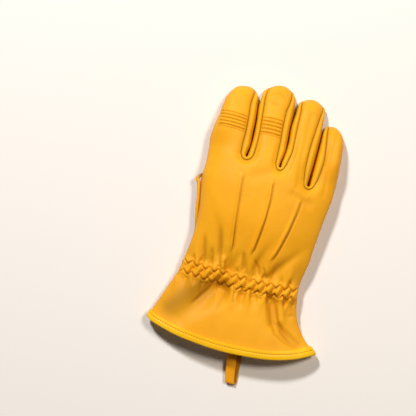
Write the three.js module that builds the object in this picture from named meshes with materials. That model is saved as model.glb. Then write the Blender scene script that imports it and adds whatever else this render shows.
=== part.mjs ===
// Leather work glove for the right hand, lying palm down with its thumb folded beneath.
// Millimetres. +X toward the little finger, +Y from the cuff to the fingertips, +Z up.
// The whole skin of the glove is laid out once as rows of points on its outer face.
// It is then cut along its seams into panels, and each panel is given its thickness.
import * as THREE from "three";

// Driving dimensions
const WALL = 1.5; // leather thickness of the panels
const SEAM_GAP = 0.36; // clearance between two pieces
const PATCH_WALL = 1.0; // thickness of the reinforcing patches
const BINDING_WALL = 1.0; // thickness of the hem binding
const BINDING_EDGE = 0.7; // rounding of the binding at the hem
const TABLE_LIFT = SEAM_GAP + PATCH_WALL; // height of the lower layer above its patches
const PALM_LIFT = 13.2; // height of the palm where it lies on the thumb
const TIP_HEIGHT = 4.6; // height of the seam round a fingertip
const TIP_ROUND_BACK = 12; // length over which the back rolls down to that seam
const TIP_ROUND_PALM = 6; // length over which the palm side rises to it
const TIP_CORNER = 1.8; // half the width at which a side strip ends
const SEAM_DROP = 3.2; // how far a back seam lies below the crown of its finger
const PALM_SEAM_RISE = 3.4; // how far a palm seam lies above the flat of its finger
const PALM_SEAM_INSET = 2.0; // how far a palm seam lies inside the finger's side
const RIB_DEPTH = 1.0; // depth of the grooves between the knuckle ribs
const TUCK_HEIGHT = 1.5; // height of the pin tucks on the back
const TUCK_HALF = 1.6; // half width of a pin tuck
const GATHER_DEPTH = 1.25; // rise and fall of the gathers at the wrist
const PALM_GATHER = 0.6; // share of that rise on the palm side
const GATHER_ZIGZAG = 2.2; // sideways swing of the two gathering rows
const GATHER_REACH = 8; // how far the gathers run out beyond those rows
const LITTLE_SIDE_DROP = 6; // the little-finger side lies this much lower

// Outline and heights of the hand, a row per station from the cuff to the knuckles.
const HAND = [
  { y: 8, left: -89.5, right: 77 },
  { y: 14, left: -88, right: 72 },
  { y: 18, left: -86.5, right: 66.5 },
  { y: 24, left: -84, right: 60 },
  { y: 30, left: -81.5, right: 55.5 },
  { y: 36, left: -79, right: 52 },
  { y: 48, left: -74, right: 48.3 },
  { y: 58, left: -70, right: 46.8 },
  { y: 66, left: -67, right: 46 },
  { y: 75, left: -65.8, right: 46.8 },
  { y: 90, left: -63, right: 50 },
  { y: 102, left: -61.5, right: 51.4 },
  { y: 115, left: -61, right: 53 },
  { y: 130, left: -62, right: 55 },
  { y: 145, left: -64, right: 57.5 },
  { y: 155, left: -65, right: 59.2 },
  { y: 168, left: -64.2, right: 60 },
  { y: 182, left: -64.5, right: 60 },
];
const HEIGHTS = [
  { y: -8, crown: 24, edge: 9 },
  { y: 20, crown: 24, edge: 9 },
  { y: 45, crown: 23, edge: 9 },
  { y: 62, crown: 23, edge: 10 },
  { y: 76, crown: 25, edge: 11 },
  { y: 95, crown: 30, edge: 13 },
  { y: 120, crown: 35, edge: 15 },
  { y: 150, crown: 36, edge: 15 },
  { y: 175, crown: 33.5, edge: 13 },
  { y: 190, crown: 30.5, edge: 11 },
  { y: 205, crown: 26.8, edge: 9.5 },
  { y: 225, crown: 21.5, edge: 8 },
  { y: 250, crown: 17.5, edge: 6 },
];
const CROWN_POWER = 2.4; // roundness of the back over the hand
const PALM_FLAT = 0.78; // share of the width that lies flat on the palm side

// Lines across the hand: the hem and the two gathering rows, by their place across.
const HEM = [
  { x: -88, y: 14.6 },
  { x: -84, y: 11.4 },
  { x: -70, y: 6.4 },
  { x: -55, y: 2.4 },
  { x: -40, y: -0.1 },
  { x: -25, y: -2.1 },
  { x: -10, y: -3.1 },
  { x: 5, y: -3.1 },
  { x: 20, y: -2.6 },
  { x: 35, y: -1.1 },
  { x: 50, y: 2.2 },
  { x: 60, y: 5.6 },
  { x: 72, y: 11 },
];
const LOWER_ROW = { left: 62.5, right: 57 };
const UPPER_ROW = { left: 73, right: 66.5 };

// How the rows of points share out the cuff, the gathers and the hand above them.
const CUFF_SHARES = [0, 0.12, 0.2, 0.36, 0.52, 0.7, 0.88];
const WRIST_SHARES = [0, 0.5];
const HAND_SHARES = [0, 0.06, 0.12, 0.19, 0.28, 0.37, 0.46, 0.56, 0.66, 0.76, 0.86, 1];
const BINDING_ROW = 1;
const BINDING_TURNED = [1, 6]; // legs whose faces split the same way as the panel's
const CUFF_PATCH = { firstRow: 2, lastRow: 4, from: -12, to: 32 };
const THUMB_HOLE = { firstShare: 3, lastShare: 6, from: -47, to: 5 };
const PALM_PATCH = { firstShare: 7, lastShare: 10, from: -52, to: 53, sideFrom: 13, sideShare: 3 };

// Fingers: seams of the back, and the sides that bulge out beyond them into the slits.
const INDEX = [
  { y: 181, left: -64.5, right: -34, sideRight: -28.8 },
  { y: 190, left: -65.2, right: -34, sideRight: -27.2 },
  { y: 200, left: -64.3, right: -33.2, sideRight: -26.7 },
  { y: 215, left: -61.2, right: -33.4, sideRight: -26.8 },
  { y: 228, left: -59.2, right: -34.1, sideRight: -27.7 },
  { y: 236, left: -57.8, right: -33.2, sideRight: -28.5 },
  { y: 241, left: -57.2, right: -32.2, sideRight: -30.8 },
  { y: 246, left: -57, right: -31.6, sideRight: -31 },
];
const MIDDLE = [
  { y: 178, left: -22, right: 0, sideLeft: -27.3, sideRight: 4 },
  { y: 190, left: -21, right: 0, sideLeft: -25.6, sideRight: 6.2 },
  { y: 200, left: -20.7, right: 0.3, sideLeft: -25.3, sideRight: 6.9 },
  { y: 215, left: -21.2, right: 0, sideLeft: -25.4, sideRight: 6.5 },
  { y: 228, left: -21.6, right: 0.2, sideLeft: -26.2, sideRight: 6.9 },
  { y: 236, left: -22, right: 1.8, sideLeft: -25.6, sideRight: 6.8 },
  { y: 243, left: -21.4, right: 2.5, sideLeft: -24, sideRight: 5 },
  { y: 248, left: -19.8, right: 2, sideLeft: -20.8, sideRight: 2.6 },
  { y: 253, left: -19.5, right: 1.8, sideLeft: -20.3, sideRight: 2.2 },
];
const RING = [
  { y: 166, left: 9.6, right: 29.4, sideLeft: 5, sideRight: 33.6 },
  { y: 178, left: 10, right: 28.3, sideLeft: 5.2, sideRight: 34.6 },
  { y: 190, left: 12.8, right: 28.4, sideLeft: 7.4, sideRight: 35.5 },
  { y: 200, left: 13, right: 29, sideLeft: 8.1, sideRight: 36.1 },
  { y: 215, left: 13, right: 30.7, sideLeft: 7.8, sideRight: 36.7 },
  { y: 228, left: 13.4, right: 32.4, sideLeft: 9.4, sideRight: 36.2 },
  { y: 236, left: 13.2, right: 33.8, sideLeft: 10.6, sideRight: 35.2 },
  { y: 241, left: 12.7, right: 34, sideLeft: 12, sideRight: 34.6 },
  { y: 246, left: 12.7, right: 34, sideLeft: 12.2, sideRight: 34.4 },
];
const LITTLE = [
  { y: 168, left: 41.2, right: 60, sideLeft: 35.2 },
  { y: 180, left: 43.3, right: 60, sideLeft: 36.2 },
  { y: 190, left: 44, right: 59.6, sideLeft: 36.9 },
  { y: 200, left: 43.5, right: 59.2, sideLeft: 37.6 },
  { y: 210, left: 42.5, right: 59.3, sideLeft: 38.1 },
  { y: 218, left: 42, right: 59.8, sideLeft: 38.6 },
  { y: 224, left: 42, right: 60, sideLeft: 40.8 },
];
// Where the tip ends, by the share of the way across the finger from its left seam.
const FINGERS = [
  {
    name: "index",
    table: INDEX,
    columns: 6,
    root: { left: 182, right: 181 },
    tip: [[0, 231], [0.14, 238.5], [0.32, 242.6], [0.6, 244.5], [0.85, 243.6], [1, 241]],
    wrapLeft: true,
    wrapRight: false,
    ribs: { first: 203.2, last: 218.6 },
  },
  {
    name: "middle",
    table: MIDDLE,
    columns: 4,
    root: { left: 181, right: 178 },
    tip: [[0, 247], [0.25, 250.8], [0.5, 252], [0.75, 251.2], [1, 247.6]],
    wrapLeft: false,
    wrapRight: false,
    ribs: { first: 203.2, last: 219.4 },
  },
  {
    name: "ring",
    table: RING,
    columns: 4,
    root: { left: 178, right: 168 },
    tip: [[0, 241], [0.25, 243.9], [0.5, 244.5], [0.75, 243], [1, 239]],
    wrapLeft: false,
    wrapRight: false,
    ribs: null,
  },
  {
    name: "little",
    table: LITTLE,
    columns: 4,
    root: { left: 169, right: 166 },
    tip: [[0, 222.6], [0.3, 223.6], [0.6, 220.6], [0.85, 215], [1, 207]],
    wrapLeft: false,
    wrapRight: true,
    ribs: null,
  },
];
// The U-shaped ends of the slits: seam of the back, then where the side strip turns.
const CROTCHES = [
  { x: -28, bottom: 175, quarterX: 4.4, quarterY: 177.3, turn: 178.4, turnQuarter: 179.3 },
  { x: 4.6, bottom: 171.5, quarterX: 3.4, quarterY: 173.7, turn: 175, turnQuarter: 175.9 },
  { x: 34.4, bottom: 160, quarterX: 4.2, quarterY: 162.6, turn: 163.4, turnQuarter: 164.4 },
];
const TURN_HALF = 0.9; // half the slit at the quarter points of the turn
const PALM_U = 0.62; // the palm's slit end is narrower by this factor
const FINGER_SHARES = [0, 0.14, 0.28, 0.42, 0.56, 0.7, 0.81, 0.9, 0.96, 1];
const STRIP_SHARES = [0, 0.2, 0.5, 0.8, 1];
const STRIP_POWER = 0.8; // fullness of the side strips
const RIB_COUNT = 5;

// Pin tucks: from below each slit down to the gathers.
const TUCKS = [
  { top: 163, bottom: 86, atBottom: -23 },
  { top: 162, bottom: 88, atBottom: -5 },
  { top: 150, bottom: 86, atBottom: 14 },
];
const TUCK_ROW = 92; // from this line upward the columns of points follow the tucks
const EVEN_ROW = 76; // up to this line they are spread evenly over the gathers
const EDGE_CROWDING = 1.4; // how much closer together they are at the edges of the hand

// Dents and folds of the back, each along a path of three points.
const DENTS = [
  { x1: 22, y1: 52, x2: 30, y2: 31, x3: 58, y3: 15, reach: 4.5, depth: 3.4 },
  { x1: -36, y1: 50, x2: -54, y2: 36, x3: -78, y3: 27, reach: 9, depth: 3.6 },
  { x1: -22, y1: 52, x2: -23, y2: 42, x3: -27, y3: 30, reach: 4, depth: 1.8 },
  { x1: -9, y1: 52, x2: -9, y2: 42, x3: -10, y3: 30, reach: 4, depth: 1.4 },
  { x1: 6, y1: 52, x2: 7, y2: 42, x3: 10, y3: 30, reach: 4, depth: 1.2 },
  { x1: 44, y1: 50, x2: 48, y2: 40, x3: 56, y3: 26, reach: 4, depth: 1.6 },
  { x1: -52, y1: 100, x2: -53, y2: 88, x3: -52, y3: 76, reach: 4, depth: 1.8 },
  { x1: -52, y1: 128, x2: -40, y2: 110, x3: -33, y3: 84, reach: 4, depth: 1.9 },
  { x1: -15, y1: 97, x2: -16, y2: 84, x3: -14, y3: 74, reach: 3.6, depth: 1.7 },
  { x1: 6, y1: 106, x2: 4, y2: 88, x3: 3, y3: 72, reach: 3.6, depth: 2.0 },
  { x1: 38, y1: 106, x2: 27, y2: 88, x3: 20, y3: 74, reach: 5, depth: 2.2 },
  { x1: -4, y1: 168, x2: -10, y2: 165, x3: -16, y3: 162, reach: 5, depth: 1.2 },
  { x1: 24, y1: 160, x2: 23, y2: 185, x3: 24, y3: 228, reach: 2.6, depth: 0.7 },
  { x1: 50, y1: 158, x2: 49, y2: 185, x3: 51, y3: 216, reach: 2.4, depth: 0.7 },
];

// Thumb: a flattened bag under the palm, folded up from the hole in the palm panel.
const THUMB_ELBOW = [
  { angle: 9, depth: 36, forward: 0.7, down: 0.4 },
  { angle: 19, depth: 38, forward: 1.7, down: 0.8 },
  { angle: 34, depth: 24.4, forward: 2.7, down: 1.2 },
  { angle: 62, depth: 15.4, forward: 3.8, down: 1.6 },
];
const THUMB = [
  { y: 82, left: -39, right: 6, top: 13.2, under: 0 },
  { y: 95, left: -43.5, right: 7, top: 13.2, under: 0 },
  { y: 108, left: -47.5, right: 8.2, top: 13.2, under: 0 },
  { y: 120, left: -50.5, right: 10, top: 12, under: 0 },
  { y: 126, left: -49.3, right: 11.2, top: 11.1, under: 0 },
  { y: 138, left: -45.5, right: 12.4, top: 11, under: 0 },
  { y: 151, left: -41.4, right: 14.4, top: 10.9, under: 0 },
  { y: 163, left: -35.5, right: 16.4, top: 10.8, under: 0 },
  { y: 171, left: -29, right: 14.6, top: 10.3, under: 0.2 },
  { y: 177, left: -21.5, right: 11, top: 9.4, under: 1.2 },
  { y: 181, left: -12, right: 7.4, top: 7.4, under: 2.6 },
];
const THUMB_FIRST_RING = 4; // the elbow stands in for the rows of the table before this
const THUMB_TIP = { x: -2.2, y: 182.8, z: 5 };
const THUMB_CORNER = 0.1; // how far the bag narrows toward its upper and lower face

// Pull loop: a strap folded in two, sewn inside the cuff.
const LOOP_WIDTH = 8.8;
const LOOP_WALL = 1.3;
const LOOP = [
  { y: 16, x: -4.6, low: 4.9, high: 6.8 },
  { y: 6, x: -3.6, low: 4.9, high: 7.2 },
  { y: -4, x: -2.6, low: 4.8, high: 8.2 },
  { y: -10, x: -2, low: 3.6, high: 7.6 },
  { y: -18, x: -1.2, low: 1.6, high: 6 },
  { y: -26, x: -0.3, low: 0.3, high: 4.4 },
  { y: -31, x: 0.3, low: 0, high: 3.4 },
];
const LOOP_SHIFT = 1.6; // the second leg lies this far to the right
const LOOP_TURN = 1.6; // how far the fold reaches beyond its last row

const COLOURS = {
  leather: 0xf2a823,
  strip: 0xeda222,
  patch: 0xbd7436,
  binding: 0xffd21e,
  loop: 0xc98a1c,
};

function clamp(value, low, high) {
  return Math.min(high, Math.max(low, value));
}

function mix(a, b, share) {
  return a + (b - a) * share;
}

function ease(value) {
  const t = clamp(value, 0, 1);
  return t * t * (3 - 2 * t);
}

// Value of a smooth curve through [place, value] pairs.
function through(pairs, at) {
  const last = pairs.length - 1;
  if (at <= pairs[0][0]) {
    return pairs[0][1];
  }
  if (at >= pairs[last][0]) {
    return pairs[last][1];
  }
  let i = 0;
  while (at > pairs[i + 1][0]) {
    i += 1;
  }
  const slope = (k) => {
    const a = pairs[Math.max(0, k - 1)];
    const b = pairs[Math.min(last, k + 1)];
    return (b[1] - a[1]) / (b[0] - a[0]);
  };
  const [x0, y0] = pairs[i];
  const [x1, y1] = pairs[i + 1];
  const span = x1 - x0;
  const t = (at - x0) / span;
  const bend = (1 - t) * slope(i) - t * slope(i + 1);
  const chord = (y1 - y0) / span;
  return mix(y0, y1, t) + t * (1 - t) * span * (bend - (1 - 2 * t) * chord);
}

// Value of one named column of a table at a place along another.
function read(table, column, at, place = "y") {
  return through(table.map((row) => [row[place], row[column]]), at);
}

// Depth of the dents at a point of the back.
function dentAt(x, y) {
  let depth = 0;
  for (const d of DENTS) {
    const away = Math.min(
      segmentDistance(x, y, d.x1, d.y1, d.x2, d.y2),
      segmentDistance(x, y, d.x2, d.y2, d.x3, d.y3),
    );
    depth += d.depth * Math.exp(-((away / d.reach) ** 2));
  }
  return depth;
}

function segmentDistance(x, y, ax, ay, bx, by) {
  const dx = bx - ax;
  const dy = by - ay;
  const along = clamp(((x - ax) * dx + (y - ay) * dy) / (dx * dx + dy * dy), 0, 1);
  return Math.hypot(x - ax - dx * along, y - ay - dy * along);
}

function crownAt(x, y) {
  return read(HEIGHTS, "crown", y) - LITTLE_SIDE_DROP * ease((x - 5) / 55) * ease((y - 60) / 50);
}

function edgeAt(y) {
  return read(HEIGHTS, "edge", y);
}

// Height of the palm side: flat on the table, raised where the thumb lies beneath it.
function floorAt(x, y) {
  const across = ease((x + 60) / 10) * ease((29 - x) / 11);
  const along = ease((y - 74) / 12) * ease((203 - y) / 17);
  const rest = TABLE_LIFT * ease((196 - y) / 16);
  return mix(rest, PALM_LIFT, across * along);
}

// Outer face of the glove as points, and the faces of each panel as rings of points.
const skin = [];
const panels = new Map();
const stripRows = [];

function point(x, y, z) {
  skin.push(new THREE.Vector3(x, y, z));
  return skin.length - 1;
}

function face(panel, ...corners) {
  if (!panels.has(panel)) {
    panels.set(panel, []);
  }
  panels.get(panel).push(corners);
}

// Points across the hand at its knuckles: blocks of finger columns and slit columns.
function knuckleRow(onPalm) {
  const row = [];
  FINGERS.forEach((finger, f) => {
    const leftX = seamX(finger, "left", finger.root.left, onPalm);
    const rightX = seamX(finger, "right", finger.root.right, onPalm);
    for (let i = 0; i <= finger.columns; i += 1) {
      const share = columnShare(finger, i);
      row.push({
        x: mix(leftX, rightX, share),
        y: mix(finger.root.left, finger.root.right, share),
      });
    }
    if (f < CROTCHES.length) {
      const crotch = CROTCHES[f];
      const reach = crotch.quarterX * (onPalm ? PALM_U : 1);
      row.push({ x: crotch.x - reach, y: crotch.quarterY });
      row.push({ x: crotch.x, y: crotch.bottom });
      row.push({ x: crotch.x + reach, y: crotch.quarterY });
    }
  });
  return row;
}

// Where a finger's seam lies, on the back or on the palm side.
function seamX(finger, side, y, onPalm) {
  const wrapped = side === "left" ? finger.wrapLeft : finger.wrapRight;
  if (!onPalm || wrapped) {
    return read(finger.table, side, y);
  }
  const bulge = side === "left" ? "sideLeft" : "sideRight";
  const inward = side === "left" ? PALM_SEAM_INSET : -PALM_SEAM_INSET;
  const inset = inward * ease((tipEnd(finger, side) - y) / 8);
  return read(finger.table, bulge, y) + inset;
}

function tipEnd(finger, side) {
  return side === "left" ? finger.tip[0][1] : finger.tip[finger.tip.length - 1][1];
}

// Share of the way across a finger, closer together where its side wraps round.
function columnShare(finger, i) {
  const t = i / finger.columns;
  if (finger.wrapLeft) {
    return t ** 1.7;
  }
  if (finger.wrapRight) {
    return 1 - (1 - t) ** 1.7;
  }
  return t;
}

// Place of the columns across the hand, from -1 at the left edge to 1 at the right.
function columnPlaces(onPalm) {
  const knuckles = knuckleRow(onPalm);
  const count = knuckles.length;
  const left = knuckles[0].x;
  const right = knuckles[count - 1].x;
  const atKnuckles = knuckles.map((p) => (2 * (p.x - left)) / (right - left) - 1);
  const atWrist = knuckles.map((_, j) => {
    const t = (2 * j) / (count - 1) - 1;
    return mix(t, Math.sin((t * Math.PI) / 2), 0.5);
  });
  const atTucks = tuckPlaces(atKnuckles);
  return { knuckles, atKnuckles, atWrist, atTucks };
}

// Columns at the height where the tucks begin, spread evenly between the tucks.
function tuckPlaces(atKnuckles) {
  const y = TUCK_ROW;
  const left = read(HAND, "left", y);
  const half = (read(HAND, "right", y) - left) / 2;
  const anchors = [[0, -1]];
  const columns = tuckColumns();
  TUCKS.forEach((tuck, f) => {
    const column = columns[f];
    const place = (tuck.atBottom - left) / half - 1;
    anchors.push([column - 1, place - TUCK_HALF / half]);
    anchors.push([column, place]);
    anchors.push([column + 1, place + TUCK_HALF / half]);
  });
  anchors.push([atKnuckles.length - 1, 1]);
  return atKnuckles.map((_, j) => {
    let i = 0;
    while (j > anchors[i + 1][0]) {
      i += 1;
    }
    const [j0, p0] = anchors[i];
    const [j1, p1] = anchors[i + 1];
    const t = (j - j0) / (j1 - j0);
    const outermost = i === 0 ? t ** EDGE_CROWDING : 1 - (1 - t) ** EDGE_CROWDING;
    return mix(p0, p1, i === 0 || i === anchors.length - 2 ? outermost : t);
  });
}

function tuckColumns() {
  const columns = [];
  let column = 0;
  CROTCHES.forEach((_, f) => {
    column += FINGERS[f].columns + (f === 0 ? 2 : 4);
    columns.push(column);
  });
  return columns;
}

// Rows of points from the hem to the knuckles, for the back or the palm side.
function handRows(onPalm) {
  const places = columnPlaces(onPalm);
  const lines = {
    hem: lineAcross(places, HEM[0].y, HEM[HEM.length - 1].y, (x) => read(HEM, "y", x, "x")),
    lower: lineAcross(places, LOWER_ROW.left, LOWER_ROW.right),
    upper: lineAcross(places, UPPER_ROW.left, UPPER_ROW.right),
    knuckles: places.knuckles,
  };
  const rows = [];
  CUFF_SHARES.forEach((share) => rows.push(between(places, lines.hem, lines.lower, share)));
  WRIST_SHARES.forEach((share) => rows.push(between(places, lines.lower, lines.upper, share)));
  HAND_SHARES.forEach((share) => rows.push(between(places, lines.upper, lines.knuckles, share)));
  return rows;
}

function lineAcross(places, leftY, rightY, rule = null) {
  const left = read(HAND, "left", leftY);
  const right = read(HAND, "right", rightY);
  return places.atWrist.map((place) => {
    const share = (place + 1) / 2;
    const x = mix(left, right, share);
    return { x, y: rule ? rule(x) : mix(leftY, rightY, share) };
  });
}

function between(places, lineA, lineB, share) {
  const last = lineA.length - 1;
  const leftY = mix(lineA[0].y, lineB[0].y, share);
  const rightY = mix(lineA[last].y, lineB[last].y, share);
  const left = read(HAND, "left", leftY);
  const right = read(HAND, "right", rightY);
  return lineA.map((a, j) => {
    const y = mix(a.y, lineB[j].y, share);
    const rise = ease((y - EVEN_ROW) / (TUCK_ROW - EVEN_ROW));
    const fan = ease((y - TUCK_ROW) / (places.knuckles[j].y - TUCK_ROW));
    const low = mix(places.atWrist[j], places.atTucks[j], rise);
    const place = lineB === places.knuckles ? mix(low, places.atKnuckles[j], fan) : places.atWrist[j];
    return { x: mix(left, right, (place + 1) / 2), y, place };
  });
}

// Rise and fall of the gathers, strongest between the two rows.
function gatherAt(y, x) {
  const share = clamp((x + 66) / 112, 0, 1);
  const lower = mix(LOWER_ROW.left, LOWER_ROW.right, share);
  const upper = mix(UPPER_ROW.left, UPPER_ROW.right, share);
  const outside = Math.max(0, lower - y, y - upper);
  return Math.exp(-((outside / GATHER_REACH) ** 2));
}

function lowerRowIndex() {
  return CUFF_SHARES.length;
}

function upperRowIndex() {
  return CUFF_SHARES.length + WRIST_SHARES.length;
}

// The hand as a grid of skin points; edge points are shared with the other side.
function layHand(onPalm, sharedEdges) {
  const tucks = tuckColumns();
  const rows = handRows(onPalm);
  return rows.map((row, r) =>
    row.map((p, j) => {
      const last = row.length - 1;
      if (sharedEdges && (j === 0 || j === last)) {
        return sharedEdges[r][j];
      }
      const isStitchRow = r === lowerRowIndex() || r === upperRowIndex();
      const swing = j % 2 === 0 ? -1 : 1;
      const inside = j > 0 && j < last;
      const y = p.y + (isStitchRow && inside && !onPalm ? swing * GATHER_ZIGZAG : 0);
      const place = clamp(p.place, -1, 1);
      const edge = edgeAt(y);
      const gather = swing * GATHER_DEPTH * gatherAt(y, p.x) * (inside ? 1 : 0);
      const slitDip = r === rows.length - 1 ? slitDipAt(j) : 0;
      if (onPalm) {
        const out = clamp((Math.abs(place) - PALM_FLAT) / (1 - PALM_FLAT), 0, 1);
        const z = mix(edge, floorAt(p.x, y), Math.sqrt(1 - out * out)) + slitDip / 2;
        return point(p.x - palmBulge(place, y), y, z + PALM_GATHER * Math.max(0, gather));
      }
      const arch = Math.sqrt(1 - Math.abs(place) ** CROWN_POWER);
      const tuck = tucks.indexOf(j);
      const ridge = tuck < 0 ? 0 : TUCK_HEIGHT * tuckFade(TUCKS[tuck], y);
      const top = mix(edge, crownAt(p.x, y), arch);
      return point(p.x, y, top + (gather + ridge - dentAt(p.x, y) - slitDip) * arch);
    }),
  );
}

// The palm side stands out beyond the back along the root of the thumb.
function palmBulge(place, y) {
  const along = ease((y - 88) / 22) * ease((160 - y) / 8);
  const across = clamp((place + 1) / 0.22, 0, 1);
  return 6.2 * along * Math.sin(across * Math.PI);
}

function tuckFade(tuck, y) {
  return ease((y - tuck.bottom) / 10) * ease((tuck.top - y) / 7);
}

// The seam round the end of a slit lies a little below the back.
function slitDipAt(j) {
  let column = 0;
  for (let f = 0; f < CROTCHES.length; f += 1) {
    column += FINGERS[f].columns;
    if (j >= column && j <= column + 4) {
      return SEAM_DROP;
    }
    column += 4;
  }
  return 0;
}

// One finger as a grid of skin points that starts at its knuckle points.
function layFinger(finger, knuckles, onPalm, back) {
  const rows = [knuckles];
  const last = FINGER_SHARES.length - 1;
  for (let k = 1; k <= last; k += 1) {
    const row = [];
    for (let i = 0; i <= finger.columns; i += 1) {
      const corner = (i === 0 && !finger.wrapLeft) || (i === finger.columns && !finger.wrapRight);
      const shared = back && (k === last || i === 0 || i === finger.columns) && !corner;
      row.push(shared ? back[k][i] : fingerPoint(finger, columnShare(finger, i), FINGER_SHARES[k], onPalm));
    }
    rows.push(row);
  }
  return rows;
}

function fingerPlace(finger, across, along, onPalm) {
  const root = mix(finger.root.left, finger.root.right, across);
  const end = through(finger.tip, across);
  const y = mix(root, end, along);
  const x = mix(seamX(finger, "left", y, onPalm), seamX(finger, "right", y, onPalm), across);
  return { x, y, end, root };
}

function fingerPoint(finger, across, along, onPalm) {
  const { x, y, end, root } = fingerPlace(finger, across, along, onPalm);
  const off = Math.abs(2 * across - 1);
  const wrapped = across < 0.5 ? finger.wrapLeft : finger.wrapRight;
  const seam = off === 1 && !wrapped;
  const edge = edgeAt(y);
  if (onPalm) {
    const rise = clamp((off - 0.5) / 0.5, 0, 1);
    const curl = wrapped ? 1 - Math.sqrt(1 - rise * rise) : rise * rise;
    const floor = floorAt(x, y);
    const high = wrapped ? edge : floor + PALM_SEAM_RISE;
    const z = mix(floor, high, curl);
    const near = clamp((y - (end - TIP_ROUND_PALM)) / TIP_ROUND_PALM, 0, 1);
    const tip = TIP_HEIGHT - (seam ? TIP_CORNER : 0);
    return point(x, y, mix(tip, z, Math.sqrt(1 - near * near)));
  }
  const crown = crownAt(x, y);
  const settled = ease((y - root) / 14);
  const low = wrapped ? edge : crown - SEAM_DROP;
  const arch = wrapped ? Math.sqrt(1 - off ** CROWN_POWER) : 1 - off ** CROWN_POWER;
  const handArch = wrapped ? arch : 1 - (seam ? 1 : 0.35 * off ** 3);
  const z = mix(low, crown, mix(handArch, arch, settled)) - dentAt(x, y) * arch;
  const near = clamp((y - (end - TIP_ROUND_BACK)) / TIP_ROUND_BACK, 0, 1);
  const tip = TIP_HEIGHT + (seam ? TIP_CORNER : 0);
  return point(x, y, mix(tip, z, Math.sqrt(1 - near * near)));
}

// Faces between two rows of points. Palm faces are turned over.
function stitchRows(panel, lower, upper, turned, keep = () => true) {
  for (let j = 0; j + 1 < lower.length; j += 1) {
    if (keep(j)) {
      const ring = [lower[j], lower[j + 1], upper[j + 1], upper[j]];
      face(panel, ...(turned ? ring.reverse() : ring));
    }
  }
}

// The back of a ribbed finger: extra rows of points inside its two outer columns.
function layRibs(panel, finger, grid, k) {
  const columns = finger.columns;
  const inner = [];
  for (let i = 1; i < columns; i += 1) {
    const across = columnShare(finger, i);
    const low = skin[grid[k][i]];
    const high = skin[grid[k + 1][i]];
    const line = [grid[k][i]];
    const { first, last } = finger.ribs;
    const steps = 2 * RIB_COUNT;
    for (let s = 0; s <= steps; s += 1) {
      const y = mix(first, last, s / steps) + (0.5 - across) * 1.2;
      if (y > low.y + 0.4 && y < high.y - 0.4) {
        const share = (y - low.y) / (high.y - low.y);
        const groove = s % 2 === 1 ? RIB_DEPTH : 0;
        line.push(point(mix(low.x, high.x, share), y, mix(low.z, high.z, share) - groove));
      }
    }
    line.push(grid[k + 1][i]);
    inner.push(line);
  }
  for (let c = 0; c + 1 < inner.length; c += 1) {
    zip(panel, inner[c], inner[c + 1]);
  }
  zip(panel, [grid[k][0], grid[k + 1][0]], inner[0]);
  zip(panel, inner[inner.length - 1], [grid[k][columns], grid[k + 1][columns]]);
}

// Triangles between two lines of points that run the same way, left line first.
function zip(panel, left, right) {
  let a = 0;
  let b = 0;
  while (a + 1 < left.length || b + 1 < right.length) {
    const leftNext = a + 1 < left.length ? skin[left[a + 1]].y : Infinity;
    const rightNext = b + 1 < right.length ? skin[right[b + 1]].y : Infinity;
    if (leftNext <= rightNext) {
      face(panel, left[a], right[b], left[a + 1]);
      a += 1;
    } else {
      face(panel, left[a], right[b], right[b + 1]);
      b += 1;
    }
  }
}

// The side strip between two fingers: down one side, round the slit's end, up the other.
function layStrip(panel, f, sides) {
  const { backA, palmA, backB, palmB, backSlit, palmSlit } = sides;
  const fingerA = FINGERS[f];
  const fingerB = FINGERS[f + 1];
  const lastA = fingerA.columns;
  const path = [];
  for (let k = FINGER_SHARES.length - 1; k >= 0; k -= 1) {
    path.push({ back: backA[k][lastA], palm: palmA[k][lastA], bulge: bulgeOf(fingerA, "sideRight") });
  }
  const crotch = CROTCHES[f];
  const turns = [
    { x: crotch.x - TURN_HALF, y: crotch.turnQuarter },
    { x: crotch.x, y: crotch.turn },
    { x: crotch.x + TURN_HALF, y: crotch.turnQuarter },
  ];
  turns.forEach((turn, i) => {
    path.push({ back: backSlit[i], palm: palmSlit[i], bulge: () => turn });
  });
  for (let k = 0; k < FINGER_SHARES.length; k += 1) {
    path.push({ back: backB[k][0], palm: palmB[k][0], bulge: bulgeOf(fingerB, "sideLeft") });
  }
  const grid = path.map((step) => {
    const a = skin[step.back];
    const b = skin[step.palm];
    const middle = { x: (a.x + b.x) / 2, y: (a.y + b.y) / 2 };
    const target = step.bulge(middle);
    return STRIP_SHARES.map((t) => {
      if (t === 0) {
        return step.back;
      }
      if (t === 1) {
        return step.palm;
      }
      const full = Math.sin(t * Math.PI) ** STRIP_POWER;
      const x = mix(a.x, b.x, t) + (target.x - middle.x) * full;
      const y = mix(a.y, b.y, t) + (target.y - middle.y) * full;
      return point(x, y, mix(a.z, b.z, t));
    });
  });
  stripRows.push(...grid);
  for (let i = 0; i + 1 < grid.length; i += 1) {
    for (let c = 0; c + 1 < STRIP_SHARES.length; c += 1) {
      face(panel, grid[i][c], grid[i + 1][c], grid[i + 1][c + 1], grid[i][c + 1]);
    }
  }
  const tipA = backA[backA.length - 1][lastA - 1];
  const tipB = backB[backB.length - 1][1];
  for (let c = 0; c + 1 < STRIP_SHARES.length; c += 1) {
    face(panel, tipA, grid[0][c], grid[0][c + 1]);
    face(panel, grid[grid.length - 1][c], tipB, grid[grid.length - 1][c + 1]);
  }
}

function bulgeOf(finger, side) {
  return (middle) => ({ x: read(finger.table, side, middle.y), y: middle.y });
}

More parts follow.
